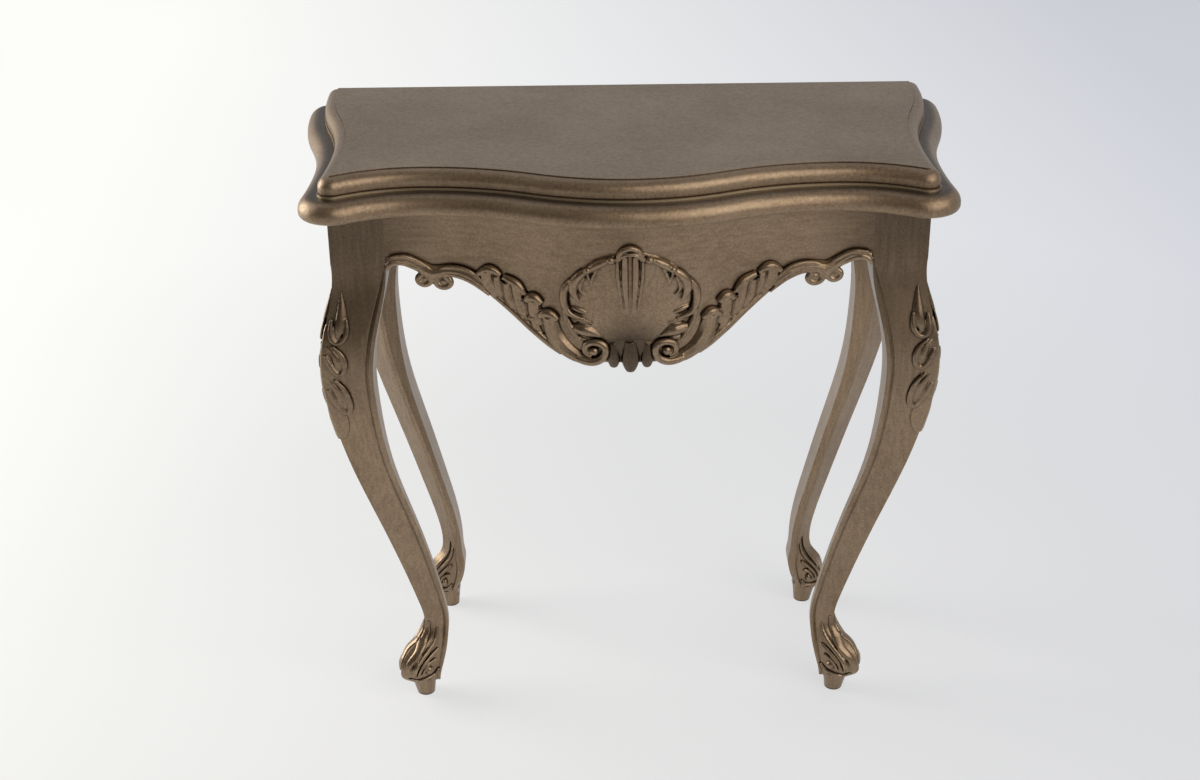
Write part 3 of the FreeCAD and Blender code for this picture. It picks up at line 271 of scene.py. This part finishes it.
# Legs: four cabriole legs sawn and carved from square stock, with a bead down each inner
# edge, painted and glazed with the brush drawn along their length. The glaze grows heavier
# towards the top, partly glaze and partly painted shade under the boards.
LEG_ARRIS_MM = 1.2
LEG_ROUGHNESS = 0.38
LEG_GLAZE = 0.9
leg_paint = bronze_paint("bronze_paint_legs", "Z", LEG_ROUGHNESS, LEG_GLAZE, glaze_and_shade=GLAZE_AND_SHADE_UPWARDS)
for leg in ("front_left_leg", "front_right_leg", "back_left_leg", "back_right_leg"):
    crisp(finished(leg + "_painted", welded(leg, LEG_ARRIS_MM), leg_paint, "bronze_paint", leg))

# Fixing blocks: six plain softwood blocks glued inside the frame, which hold the boards to
# the rails. They are planed, with a straight grain along their length, and left bare.
PINE_LIGHT = "C9A576"
PINE_RING = "A57C4C"
RING_MM = 4
# The wave pattern's own spacing at a scale of 1.
WAVE_SPACING = 0.31
SWAY_MM = 40
PINE_RELIEF_MM = 0.2
BLOCK_ARRIS_MM = 0.8


def bare_pine():
    """Planed bare pine: dry and matt, with straight bands of darker late wood."""
    material = bpy.data.materials.new("bare_pine")
    material.use_nodes = True
    tree = material.node_tree
    tree.nodes.clear()
    place = add_node(tree, "ShaderNodeTexCoord").outputs["Object"]
    sway = add_node(tree, "ShaderNodeTexNoise", {
        "Vector": place, "Scale": 1 / (SWAY_MM * MM), "Detail": 2.0})
    rings = add_node(tree, "ShaderNodeTexWave", {
        "Vector": place, "Scale": WAVE_SPACING / (RING_MM * MM), "Distortion": 3.0, "Detail": 2.0,
        "Phase Offset": sway.outputs["Fac"]}, bands_direction="Z")
    colour = add_node(tree, "ShaderNodeMix", {
        MIX_FACTOR: rings.outputs["Fac"], MIX_A: linear(PINE_LIGHT), MIX_B: linear(PINE_RING)},
        data_type="RGBA")
    relief = add_node(tree, "ShaderNodeBump", {
        "Height": rings.outputs["Fac"], "Strength": 0.2, "Distance": PINE_RELIEF_MM * MM})
    shader = add_node(tree, "ShaderNodeBsdfPrincipled", {
        "Base Color": colour.outputs[MIX_RESULT], "Roughness": 0.65, "Normal": relief.outputs[0]})
    add_node(tree, "ShaderNodeOutputMaterial", {"Surface": shader.outputs[0]})
    return material


pine = bare_pine()
for block in ("left_side_block", "right_side_block", "back_left_block", "back_right_block",
              "front_left_block", "front_right_block"):
    finished(block + "_bare", welded(block, BLOCK_ARRIS_MM), pine, "bare_wood", block)

# Screws: zinc-plated steel wood screws with round heads, driven up from below. One group
# joins the two boards and the other holds them down to the fixing blocks.
ZINC_BRIGHT = "B9BCC0"
ZINC_DULL = "8C9096"
PLATING_CLOUD_MM = 2.2222


def zinc_plate():
    """Zinc-plated steel: a cool grey metal, half bright, with a cloudy plating."""
    material = bpy.data.materials.new("zinc_plated_steel")
    material.use_nodes = True
    tree = material.node_tree
    tree.nodes.clear()
    place = add_node(tree, "ShaderNodeTexCoord").outputs["Object"]
    cloud = add_node(tree, "ShaderNodeTexNoise", {
        "Vector": place, "Scale": 1 / (PLATING_CLOUD_MM * MM), "Detail": 3.0})
    colour = add_node(tree, "ShaderNodeMix", {
        MIX_FACTOR: cloud.outputs["Fac"], MIX_A: linear(ZINC_BRIGHT), MIX_B: linear(ZINC_DULL)},
        data_type="RGBA")
    rough = add_node(tree, "ShaderNodeMapRange", {
        "Value": cloud.outputs["Fac"], "To Min": 0.25, "To Max": 0.45})
    shader = add_node(tree, "ShaderNodeBsdfPrincipled", {
        "Base Color": colour.outputs[MIX_RESULT], "Metallic": 1.0, "Roughness": rough.outputs[0]})
    add_node(tree, "ShaderNodeOutputMaterial", {"Surface": shader.outputs[0]})
    return material


zinc = zinc_plate()
for screws in ("board_screws", "block_screws"):
    finished(screws + "_plated", welded(screws), zinc, "screw_steel", screws)

# Carved shell: a dished scallop glued to the middle of the front apron, carved with a
# rolled rim, hanging flutes below a cap, leafy lobes and three drops, then glazed.
CARVING_VOXEL_MM = 0.75
CARVING_SMOOTH = 2
SEAM_MM = 0.001
CARVED_ROUGHNESS = 0.3
CARVED_GLAZE = 0.97
# How strongly the carvings' crests are painted light: partly rubbed wear, partly a painted highlight.
CARVED_WORN_AND_HIGHLIGHT = 0.8
# The apron's face is read this far below its top edge, and not on the tenon at each end.
FACE_DOWN_MM = 12
TENON_END_MM = 28
apron_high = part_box("front_apron")[1]
face_level = apron_high.z - FACE_DOWN_MM * MM
face_reach = apron_high.x - TENON_END_MM * MM


def surface_of(node):
    """The faces of a CAD piece, ready for finding where a line meets them."""
    work = bmesh.new()
    work.from_mesh(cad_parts[node].data)
    surface = BVHTree.FromBMesh(work)
    work.free()
    return surface


apron_face = surface_of("front_apron")


def on_apron(point):
    """Lays a flat point, with its rise towards -Y, on the serpentine face of the apron."""
    x = max(-face_reach, min(face_reach, point.x))
    in_front = Vector((x, -1, face_level))
    hit, normal = apron_face.ray_cast(in_front, Vector((0, 1, 0)))[:2]
    outward = Vector((normal.x, normal.y, 0)).normalized()
    return Vector((point.x, hit.y, point.z)) - outward * point.y


def carved(name, strokes, mounds, wrap, sink_mm):
    """One carved mesh from rounded gouge strokes and mounds, drawn flat and then wrapped.
    A stroke's points are across, up, radius and lift in millimetres; a mound has its middle,
    half sizes, height and lift. What would lie deeper in the wood than the sink is cut away."""
    lines = bpy.data.curves.new(name + "_lines", "CURVE")
    lines.dimensions = "3D"
    lines.bevel_depth = MM
    lines.bevel_resolution = 3
    lines.resolution_u = 6
    lines.use_fill_caps = True
    for stroke in strokes:
        spline = lines.splines.new("NURBS")
        spline.points.add(len(stroke) - 1)
        for point, (across, up, radius, lift) in zip(spline.points, stroke):
            point.co = (across * MM, -lift * MM, up * MM, 1)
            point.radius = radius
        spline.order_u = 3
        spline.use_endpoint_u = True
    holder = bpy.data.objects.new(name + "_lines", lines)
    work = bmesh.new()
    work.from_mesh(bpy.data.meshes.new_from_object(holder))
    bpy.data.objects.remove(holder)
    bmesh.ops.remove_doubles(work, verts=work.verts, dist=SEAM_MM * MM)
    for across, up, half_width, half_height, height, lift in mounds:
        ball = bmesh.ops.create_uvsphere(work, u_segments=32, v_segments=16, radius=MM)
        bmesh.ops.scale(work, verts=ball["verts"], vec=(half_width, height, half_height))
        bmesh.ops.translate(work, verts=ball["verts"], vec=(across * MM, -lift * MM, up * MM))
    bmesh.ops.recalc_face_normals(work, faces=work.faces)
    rough = bpy.data.meshes.new(name + "_rough")
    work.to_mesh(rough)
    blank = bpy.data.objects.new(name + "_blank", rough)
    bpy.context.scene.collection.objects.link(blank)
    joined = blank.modifiers.new("joined", "REMESH")
    joined.mode = "VOXEL"
    joined.voxel_size = CARVING_VOXEL_MM * MM
    soft = blank.modifiers.new("softened", "SMOOTH")
    soft.iterations = CARVING_SMOOTH
    soft.factor = 0.5
    bpy.context.view_layer.update()
    shaped = blank.evaluated_get(bpy.context.evaluated_depsgraph_get())
    mesh = bpy.data.meshes.new_from_object(shaped)
    bpy.data.objects.remove(blank)
    mesh.name = name
    work.clear()
    work.from_mesh(mesh)
    bmesh.ops.bisect_plane(work, geom=work.verts[:] + work.edges[:] + work.faces[:],
                           plane_co=(0, sink_mm * MM, 0), plane_no=(0, 1, 0), clear_outer=True)
    work.to_mesh(mesh)
    work.free()
    for vertex in mesh.vertices:
        vertex.co = wrap(vertex.co)
    mesh.shade_smooth()
    return mesh


def both_sides(strokes):
    """The strokes together with their mirror images across the middle."""
    return strokes + [[(-across, *rest) for across, *rest in stroke] for stroke in strokes]


def at_lift(lift, points):
    """Points of a stroke that all lie at one lift."""
    return [(across, up, radius, lift) for across, up, radius in points]


shell_side = [
    at_lift(2, [(6.3, 700, 4), (6.6, 680, 4.8), (6, 660, 4.6), (4.8, 645, 3.6), (3.2, 628, 1.8)]),
    at_lift(3.6, [(15, 700, 1.8), (15, 680, 2.6), (13, 660, 2.4), (8.8, 634, 1)]),
    at_lift(4, [(24, 696.5, 3), (33, 693.5, 5), (42, 688, 5.8), (50, 681.5, 3.6)]),
    at_lift(3.5, [(37, 686, 1.6), (42, 679, 2.6), (44.5, 670, 1.8), (45.5, 663, 0.6)]),
    at_lift(3.5, [(50, 681, 2), (49.5, 673, 2.2), (45.5, 663, 0.6)]),
    at_lift(4.5, [(48, 684, 2.8), (57, 678, 5.4), (64, 670, 6.2), (67.5, 660, 5.8), (66, 651, 4.4),
                  (60.5, 643, 2)]),
    at_lift(3.6, [(53, 673, 1), (58.5, 664, 2.4), (59, 655, 2.4), (52, 649.5, 0.8)]),
    at_lift(4, [(69, 668.5, 2.8), (76, 659.5, 5), (79, 648, 5), (78, 637, 4.4), (74, 627.5, 3.8),
                (66, 621.5, 3), (55, 619.5, 1)]),
    at_lift(3.5, [(79.5, 642, 1.6), (78, 626, 3), (73.5, 613, 3.4), (67, 601, 3.4), (60, 590, 2.2)]),
    at_lift(0.6, [(70, 633, 2), (62, 630, 5.6), (50, 626, 2)]),
    at_lift(0.6, [(68, 619.5, 2), (57, 615.5, 5.4), (42, 613, 1.6)]),
    at_lift(0.6, [(71, 607, 3), (60, 606, 8.6), (48, 602.5, 8), (35, 596, 2)]),
    at_lift(0.6, [(65, 595, 2.4), (55, 592.5, 5), (42, 591, 1.6)]),
    at_lift(-0.5, [(20.5, 589, 5), (20.5, 573, 9), (20, 562.5, 8), (20, 556.5, 4.5)]),
]
shell_middle = [
    at_lift(5, [(-16, 695, 2), (-14, 706, 3), (0, 713.5, 3.8), (14, 706, 3), (16, 695, 2)]),
    at_lift(5.6, [(-13.5, 696, 1.6), (-10, 702.5, 2.4), (0, 704.5, 2.6), (10, 702.5, 2.4),
                  (13.5, 696, 1.6)]),
    at_lift(0, [(0, 592, 7), (0, 573, 12), (0, 559.5, 10.5), (0, 551, 5.5)]),
]
shell_mounds = [
    (0, 644, 74, 62, 3.2, 0),
    (0, 583, 34, 17, 3.6, 0),
    (22.5, 696.5, 5, 4.8, 4.8, 5.5),
    (-22.5, 696.5, 5, 4.8, 4.8, 5.5),
    (49.5, 683, 4.4, 4.4, 4.4, 6),
    (-49.5, 683, 4.4, 4.4, 4.4, 6),
]
SHELL_SINK_MM = 3
BELLY_MM = 4
BELLY_UP_MM = 612
BELLY_ACROSS_MM = 30
POOL_UP_MM = 577
POOL_REACH_MM = 56


def on_dish(point):
    """Lays a point of the shell on the apron, with the smooth belly of its lower middle."""
    away = math.hypot(point.x, point.z - BELLY_UP_MM * MM) / (BELLY_ACROSS_MM * MM)
    return on_apron(point - Vector((0, BELLY_MM * MM * math.exp(-away * away), 0)))


shell_pool = (on_apron(Vector((0, 0, POOL_UP_MM * MM))), POOL_REACH_MM * MM)
shell_paint = bronze_paint(
    "bronze_paint_shell", None, CARVED_ROUGHNESS, CARVED_GLAZE, worn_and_highlight=CARVED_WORN_AND_HIGHLIGHT, pool=shell_pool)
shell_strokes = both_sides(shell_side) + shell_middle
shell = carved("carved_shell", shell_strokes, shell_mounds, on_dish, SHELL_SINK_MM)
finished("carved_shell", shell, shell_paint, "bronze_paint", "apron_shell")

# Leaf scrolls: on each side of the shell, four acanthus leaves with rolled tips lie along
# the apron's lower edge, and the last one runs out into a stem that curls into a volute.
# They are carved in wood, glued to the face and painted like the shell, with light on their
# edges that is partly rubbed wear and partly a painted highlight.
leaf_strokes = [
    at_lift(0, [(182, 650, 2), (158, 632, 4.4), (137, 615, 5), (119, 599, 5.4), (106, 589, 5.4),
                (94, 579, 5), (82, 571, 4)]),
    [(171, 669, 9, 0), (172, 657, 10.5, -2.5), (167, 645, 10.5, -4.5), (158, 633, 8, -5)],
    at_lift(3, [(182, 662, 3.6), (172, 671.5, 6), (160, 669, 5), (154, 663, 3)]),
    [(158, 663, 5, 3), (159.5, 651, 6.5, 0), (153, 638, 6.5, -2.5), (146, 628, 4.5, -3)],
    at_lift(2.8, [(151, 662, 4), (139, 658, 5.6), (130, 651, 5), (125.5, 642, 3)]),
    [(147, 656, 6, 2.4), (147.5, 641, 8, -1), (141.5, 627, 8, -3), (133, 614, 6, -4)],
    [(137, 655, 6, 2.4), (134.5, 640, 7.6, -0.6), (133, 624, 8, -3), (126, 608, 6, -4)],
    [(128, 634, 3, 2), (127, 618, 3.6, 0.5), (122, 605, 3.4, -0.5)],
    at_lift(3.2, [(124, 634, 3.6), (120, 640, 5.6), (112, 641, 6.4), (105, 633, 4)]),
    [(114, 638, 9, 0.4), (116, 621, 11, -3.5), (111, 604, 10, -6)],
    at_lift(3.2, [(121, 611, 2.6), (116, 615, 4), (111, 612.5, 3)]),
    [(115.5, 612, 5, 1.6), (113, 600, 6, -1.6), (106, 590, 5, -3)],
    at_lift(3.4, [(108, 616, 3.6), (102, 622.5, 5.6), (93, 622.5, 6.2), (86, 615, 3.6)]),
    [(96, 619, 9.5, 0), (94.5, 602, 12, -3.6), (87, 586, 13, -6), (76, 574.5, 11, -4),
     (62, 567, 8.6, -1), (48, 564, 6.4, 1)],
    at_lift(4.2, [(64, 568, 5), (54, 564, 5.6), (42, 563.5, 5.4), (32.5, 569, 5.2), (28, 578.5, 5),
                  (32, 587.5, 4.8), (42, 590.5, 4.7), (51.5, 587.5, 4.5), (54.5, 580, 4.2),
                  (51.5, 573.5, 3.8), (46, 572, 3.4)]),
]
leaf_mounds = [(43.5, 577.5, 6, 6, 5.4, 3.5)]
LEAF_SINK_MM = 4
SIDEWAYS = Vector((1, 0, 0))


def reflected(mesh, name, normal, through=Vector((0, 0, 0))):
    """The mirror image of a mesh across a plane, its faces still pointing outwards."""
    work = bmesh.new()
    work.from_mesh(mesh)
    across = Matrix.Translation(through) @ Matrix.Scale(-1, 4, normal) @ Matrix.Translation(-through)
    bmesh.ops.transform(work, matrix=across, verts=work.verts)
    bmesh.ops.reverse_faces(work, faces=work.faces)
    twin = bpy.data.meshes.new(name)
    work.to_mesh(twin)
    work.free()
    twin.shade_smooth()
    return twin


def carved_pair(name, mesh, paint, *node):
    """Shows a carving on the right of the table and its mirror image on the left."""
    finished(name % "right", mesh, paint, "bronze_paint", *[part % "right" for part in node])
    twin = reflected(mesh, name % "left", SIDEWAYS)
    finished(name % "left", twin, paint, "bronze_paint", *[part % "left" for part in node])


carving_paint = bronze_paint(
    "bronze_paint_carving", None, CARVED_ROUGHNESS, CARVED_GLAZE, worn_and_highlight=CARVED_WORN_AND_HIGHLIGHT)
leaves = carved("right_carved_leaves", leaf_strokes, leaf_mounds, on_apron, LEAF_SINK_MM)
carved_pair("%s_carved_leaves", leaves, carving_paint, "%s_leaf_scroll")

# Scroll beads: a double rolled bead along the two arches beside each leg, ending in two
# small volutes that hang side by side where the arches meet. Carved wood, glued to the
# apron and finished like the leaves.
bead_strokes = [
    at_lift(-0.5, [(291, 679, 5.4), (278, 681, 6.6), (266, 679.5, 7), (254, 672, 7.6), (244, 665, 9),
                   (236.5, 662, 9.5), (229, 663.5, 9), (217, 665.5, 7.6), (202, 663, 7), (188, 657, 7),
                   (173, 645, 6)]),
    at_lift(3, [(292, 669, 2.6), (289, 676, 3.6), (280, 678, 4), (270, 676.5, 4), (259, 671, 4),
                (248, 665.5, 4.4), (239.5, 660, 4.6), (238.5, 652, 4.6), (246, 647, 4.6),
                (254.5, 651, 4.4), (255, 658.5, 3.8), (249, 661, 3.2)]),
    at_lift(4.6, [(287, 685, 1.4), (278, 685.5, 2.2), (268, 685, 2.6), (258, 680.5, 2.6),
                  (247, 674, 2.4), (237, 667, 1.6)]),
    at_lift(3, [(222, 658, 3.2), (216, 655.5, 3.8), (214.5, 648.5, 4.4), (222, 643.5, 4.6),
                (231.5, 647, 4.6), (233.5, 655, 4.6), (228, 661, 4.4), (217, 662, 4), (204, 659.5, 4),
                (190, 653.5, 3.8), (178, 645, 3.2), (168, 636, 1.8)]),
    at_lift(4.6, [(235, 665, 1.6), (226, 670, 2.4), (213, 671.5, 2.6), (199, 669.5, 2.6),
                  (186, 664, 2.4), (174, 653, 1.4)]),
]
bead_mounds = [(247.5, 654.5, 8, 7.5, 5, 1.5), (223, 651, 8, 7.5, 5, 1.5)]
BEAD_SINK_MM = 6
bead = carved("right_carved_bead", bead_strokes, bead_mounds, on_apron, BEAD_SINK_MM)
carved_pair("%s_carved_bead", bead, carving_paint, "%s_scroll_bead")

# Knee leaves: a leaf wrapped over the corner of each knee, with a thin vein above, three
# overlapping lobes a side with raised rims, and a smooth pointed tongue below. Carved
# wood glued to the leg, under the same paint and under more glaze towards the top, partly
# glaze and partly painted shade.
knee_side = [
    at_lift(0.8, [(8.6, 640, 1), (11, 622, 3.6), (13.2, 605, 5.6), (13.2, 592, 4.8), (13, 581, 1.6)]),
    at_lift(3.6, [(5, 608, 1.2), (5.5, 595, 2.4), (8, 583.5, 2.8), (13.5, 577, 2.8), (19, 583, 2.6),
                  (20.5, 595, 2.2), (17.5, 608, 1.2)]),
    at_lift(1.2, [(5, 574, 1.4), (10, 567, 3.2), (14, 558, 4.6), (15.5, 549, 4.2), (15.5, 541, 1.6)]),
    at_lift(3.6, [(4, 563, 1.4), (7.5, 552, 2.4), (11, 543, 2.8), (16, 537, 2.8), (20.5, 543, 2.6),
                  (21, 555, 2.4), (17, 567, 1.6), (9, 575, 1.2)]),
    at_lift(1.2, [(5, 532, 1.4), (9.5, 522, 3.4), (13, 509, 4.8), (15, 497, 4.2), (16, 486, 1.6)]),
    at_lift(3.6, [(4, 517, 1.4), (6.5, 504, 2.6), (10.5, 491, 2.8), (15.5, 481, 2.8), (19.5, 488, 2.6),
                  (20.5, 503, 2.6), (18, 520, 2.2), (11, 531, 1.4)]),
    at_lift(0, [(7, 498, 2), (9, 482, 4.6), (9.5, 466, 4.4), (6.5, 452, 4), (1.5, 442, 3.4)]),
    at_lift(0.4, [(3, 500, 2), (3, 480, 4.4), (3, 460, 4), (1, 446, 3)]),
]
knee_mounds = [(0, 530, 14, 72, 3, 0)]
KNEE_SINK_MM = 2
# Where the corner of each right leg stands, in metres, and the way it faces.
LEG_CORNERS = {
    "front": (Vector((0.3585, -0.12833, 0)), Vector((1, -1, 0)).normalized()),
    "back": (Vector((0.3585, 0.17, 0)), Vector((1, 0, 0))),
}


def over_corner(leg, corner, outward):
    """Returns the wrap that lays flat points on the corner of a leg, seen along it."""
    surface = surface_of(leg)
    sideways = Vector((-outward.y, outward.x, 0))

    def wrap(point):
        place = corner + sideways * point.x + Vector((0, 0, point.z))
        hit, normal = surface.ray_cast(place + outward, -outward)[:2]
        if hit is None:
            return place - outward * point.y
        return hit - (normal + outward).normalized() * point.y
    return wrap


knee_paint = bronze_paint(
    "bronze_paint_knees", None, CARVED_ROUGHNESS, CARVED_GLAZE, worn_and_highlight=CARVED_WORN_AND_HIGHLIGHT, glaze_and_shade=GLAZE_AND_SHADE_UPWARDS)
for end, (corner, outward) in LEG_CORNERS.items():
    wrap = over_corner(end + "_right_leg", corner, outward)
    leaf = carved(end + "_right_carved_knee", both_sides(knee_side), knee_mounds, wrap, KNEE_SINK_MM)
    carved_pair(end + "_%s_carved_knee", leaf, knee_paint, end + "_%s_knee_leaf")

# Foot leaves: ribs that fan from the ankle to the toe on both sides of each foot, with a
# small volute low on the side, carved in the leg itself and picked out like the leaves.
foot_strokes = [
    at_lift(0.8, [(50, 113, 1.2), (48.5, 102, 2.4), (44, 94, 3), (36, 86, 3.2), (25.5, 77, 3.2),
                  (15, 69, 3.2), (8, 61, 3), (5.5, 53, 2)]),
    at_lift(0.8, [(57, 104, 1.2), (54, 93, 2.6), (47.5, 84.5, 3), (38, 76.5, 3.2), (27, 69, 3.2),
                  (17.5, 61.5, 3), (11.5, 53, 2.8), (9.5, 45, 1.6)]),
    at_lift(1, [(52, 75, 2.4), (44, 70.5, 3), (34, 64.5, 3.2), (24.5, 58, 3), (18, 50.5, 2.8),
                (16, 42, 1.6)]),
    at_lift(1, [(46, 60, 2.2), (39, 59, 2.8), (31, 55, 2.8), (25, 48.5, 2.4), (23.5, 42, 1.4)]),
    at_lift(0.8, [(8, 40, 1.6), (14, 35.5, 2.6), (24, 32.5, 2.8), (36, 32.5, 2.8), (46, 36, 2.6),
                  (50, 43, 2)]),
]
foot_mounds = [(35, 46, 6.5, 6.5, 5.5, 0)]
FOOT_SINK_MM = 2
TOE_BACK_MM = {"front": 63, "back": 66}
FOOT_STRETCH = {"front": 1, "back": 0.65}
SOLE_UP_MM = 27


def on_foot(leg, toe, outward, stretch):
    """Returns the wrap that lays flat points on one side of a foot, measured back from its toe."""
    surface = surface_of(leg)
    sideways = Vector((-outward.y, outward.x, 0))

    def wrap(point):
        place = toe - outward * point.x * stretch + Vector((0, 0, max(point.z, SOLE_UP_MM * MM)))
        hit, normal = surface.ray_cast(place + sideways, -sideways)[:2]
        if hit is None:
            hit, normal = surface.find_nearest(place)[:2]
        return Vector((hit.x, hit.y, point.z)) - (normal + sideways).normalized() * point.y
    return wrap


for end, (corner, outward) in LEG_CORNERS.items():
    toe = corner - outward * TOE_BACK_MM[end] * MM
    wrap = on_foot(end + "_right_leg", toe, outward, FOOT_STRETCH[end])
    foot = carved(end + "_right_carved_foot", foot_strokes, foot_mounds, wrap, FOOT_SINK_MM)
    far_side = reflected(foot, "far_side", Vector((-outward.y, outward.x, 0)), corner)
    work = bmesh.new()
    work.from_mesh(foot)
    work.from_mesh(far_side)
    work.to_mesh(foot)
    work.free()
    foot.shade_smooth()
    carved_pair(end + "_%s_carved_foot", foot, carving_paint)

# Studio: a pale seamless paper floor that runs on far behind the table. Seen directly, or
# mirrored in the paint, it keeps some glow of its own, most of it away from the table and
# on the window side, so the table's shadows stay faint.
FLOOR_PAPER = "EFF0F1"
# Colours of the painted glow: brightest on the window side, cooler and dimmer to the right and far away.
GLOW_WINDOW_SIDE = "FFFFFB"
GLOW_DIM_SIDE = "D6D8E0"
LEFT_TO_RIGHT_M = (-1.3, 1.5)
GLOW_FADED_FAR = 0.9
FADING_M = (2.0, 5.5)
GLOW_NEAR = 0.66
GLOW_FAR = 0.97
NEAR_TO_FAR_M = (0.8, 1.8)
GLOW_MIRRORED = 0.5
FLOOR_REACH_M = 6
work = bmesh.new()
bmesh.ops.create_grid(work, x_segments=1, y_segments=1, size=FLOOR_REACH_M)
floor_mesh = bpy.data.meshes.new("paper_floor")
work.to_mesh(floor_mesh)
work.free()
floor = bpy.data.objects.new("paper_floor", floor_mesh)
bpy.context.scene.collection.objects.link(floor)
# Matt paper gives the eye an even white without sheen; the glow painted on it is a little cooler
# and darker to the right, as painted light falling off away from the window.
paper = bpy.data.materials.new("matt_paper")
paper.use_nodes = True
tree = paper.node_tree
tree.nodes.clear()
floor_spot = add_node(tree, "ShaderNodeTexCoord").outputs["Object"]
floor_place = add_node(tree, "ShaderNodeSeparateXYZ", {"Vector": floor_spot})
floor_reach = add_node(tree, "ShaderNodeVectorMath", {0: floor_spot}, operation="LENGTH")
rightwards = add_node(tree, "ShaderNodeMapRange", {
    "Value": floor_place.outputs["X"], "From Min": LEFT_TO_RIGHT_M[0], "From Max": LEFT_TO_RIGHT_M[1]})
glow_colour = add_node(tree, "ShaderNodeMix", {
    MIX_FACTOR: rightwards.outputs[0], MIX_A: linear(GLOW_WINDOW_SIDE), MIX_B: linear(GLOW_DIM_SIDE)},
    data_type="RGBA")
far_right = add_node(tree, "ShaderNodeMath", {
    0: floor_place.outputs["X"], 1: floor_place.outputs["Y"]}, operation="ADD")
fading = add_node(tree, "ShaderNodeMapRange", {
    "Value": far_right.outputs[0], "From Min": FADING_M[0], "From Max": FADING_M[1],
    "To Min": 1.0, "To Max": GLOW_FADED_FAR})
glow = add_node(tree, "ShaderNodeEmission", {
    "Color": glow_colour.outputs[MIX_RESULT], "Strength": fading.outputs[0]})
matt = add_node(tree, "ShaderNodeBsdfPrincipled", {"Base Color": linear(FLOOR_PAPER), "Roughness": 0.9})
rays = add_node(tree, "ShaderNodeLightPath").outputs
glow_seen = add_node(tree, "ShaderNodeMapRange", {
    "Value": floor_reach.outputs["Value"], "From Min": NEAR_TO_FAR_M[0], "From Max": NEAR_TO_FAR_M[1],
    "To Min": GLOW_NEAR, "To Max": GLOW_FAR})
seen = add_node(tree, "ShaderNodeMath", {
    0: rays["Is Camera Ray"], 1: glow_seen.outputs[0]}, operation="MULTIPLY")
mirrored = add_node(tree, "ShaderNodeMath", {
    0: rays["Is Glossy Ray"], 1: GLOW_MIRRORED}, operation="MULTIPLY")
glow_share = add_node(tree, "ShaderNodeMath", {
    0: seen.outputs[0], 1: mirrored.outputs[0]}, operation="MAXIMUM")
both = add_node(tree, "ShaderNodeMixShader", {
    0: glow_share.outputs[0], 1: matt.outputs[0], 2: glow.outputs[0]})
add_node(tree, "ShaderNodeOutputMaterial", {"Surface": both.outputs[0]})
floor_mesh.materials.append(paper)

# Lights: a bright room behind the table and a dim one behind the camera, a wide soft
# window on the left and a broad soft light high on the front right.
ROOM_BRIGHT = "DEE1E5"
ROOM_DIM = "5A544C"
WALL_SEEN = "E4E6EA"
ROOM_STRENGTH = 0.71
FRONT_TO_BACK = (-0.4, 0.4)
WINDOW_LIGHT = "FFFBF4"
LAMP_LIGHT = "FFFAF2"
world = bpy.data.worlds.new("pale_room")
bpy.context.scene.world = world
world.use_nodes = True
room = world.node_tree
direction = add_node(room, "ShaderNodeSeparateXYZ", {
    "Vector": add_node(room, "ShaderNodeTexCoord").outputs["Generated"]})
towards_back = add_node(room, "ShaderNodeMapRange", {
    "Value": direction.outputs["Y"], "From Min": FRONT_TO_BACK[0], "From Max": FRONT_TO_BACK[1]})
wall = add_node(room, "ShaderNodeMix", {
    MIX_FACTOR: towards_back.outputs[0], MIX_A: linear(ROOM_DIM), MIX_B: linear(ROOM_BRIGHT)},
    data_type="RGBA")
room_light = room.nodes["Background"]
room_light.inputs["Strength"].default_value = ROOM_STRENGTH
room.links.new(wall.outputs[MIX_RESULT], room_light.inputs["Color"])
wall_seen = add_node(room, "ShaderNodeBackground", {"Color": linear(WALL_SEEN)})
straight = add_node(room, "ShaderNodeLightPath").outputs["Is Camera Ray"]
shown = add_node(room, "ShaderNodeMixShader", {
    0: straight, 1: room_light.outputs[0], 2: wall_seen.outputs[0]})
room.links.new(shown.outputs[0], room.nodes["World Output"].inputs["Surface"])


def soft_light(name, place, target, width, height, watts, colour):
    """A rectangular area light that points at a target."""
    lamp = bpy.data.lights.new(name, "AREA")
    lamp.shape = "RECTANGLE"
    lamp.size = width
    lamp.size_y = height
    lamp.energy = watts
    lamp.color = linear(colour)[:3]
    holder = bpy.data.objects.new(name, lamp)
    holder.location = place
    holder.rotation_euler = (Vector(target) - Vector(place)).to_track_quat("-Z", "Y").to_euler()
    bpy.context.scene.collection.objects.link(holder)


soft_light("left_window", place=(-2.3, 0.6, 1.2), target=(0, 0, 0.5),
           width=1.4, height=1.8, watts=45, colour=WINDOW_LIGHT)
soft_light("front_right", place=(1.5, -1.75, 2.05), target=(0.15, -0.1, 0.72),
           width=3.0, height=2.4, watts=50, colour=LAMP_LIGHT)

# Camera: at the height and distance of a standing viewer, looking down at the front, and
# turned and rolled by less than a degree.
PICTURE_WIDTH_PX = 1200
FOCAL_PX = 1850
SENSOR_MM = 36
CAMERA_PLACE = (-0.042, -2.18, 1.532)
LOOK_DOWN_DEGREES = 26.64
CAMERA_TURN_DEGREES = -0.14
CAMERA_ROLL_DEGREES = -0.66
camera_data = bpy.data.cameras.new("camera")
camera_data.sensor_width = SENSOR_MM
camera_data.lens = FOCAL_PX * SENSOR_MM / PICTURE_WIDTH_PX
camera = bpy.data.objects.new("camera", camera_data)
camera.location = CAMERA_PLACE
aim = Euler((math.radians(90 - LOOK_DOWN_DEGREES), 0, math.radians(CAMERA_TURN_DEGREES))).to_matrix()
camera.rotation_euler = (aim @ Matrix.Rotation(math.radians(CAMERA_ROLL_DEGREES), 3, "Z")).to_euler()
bpy.context.scene.collection.objects.link(camera)
bpy.context.scene.camera = camera
bpy.context.scene.view_settings.view_transform = "Standard"
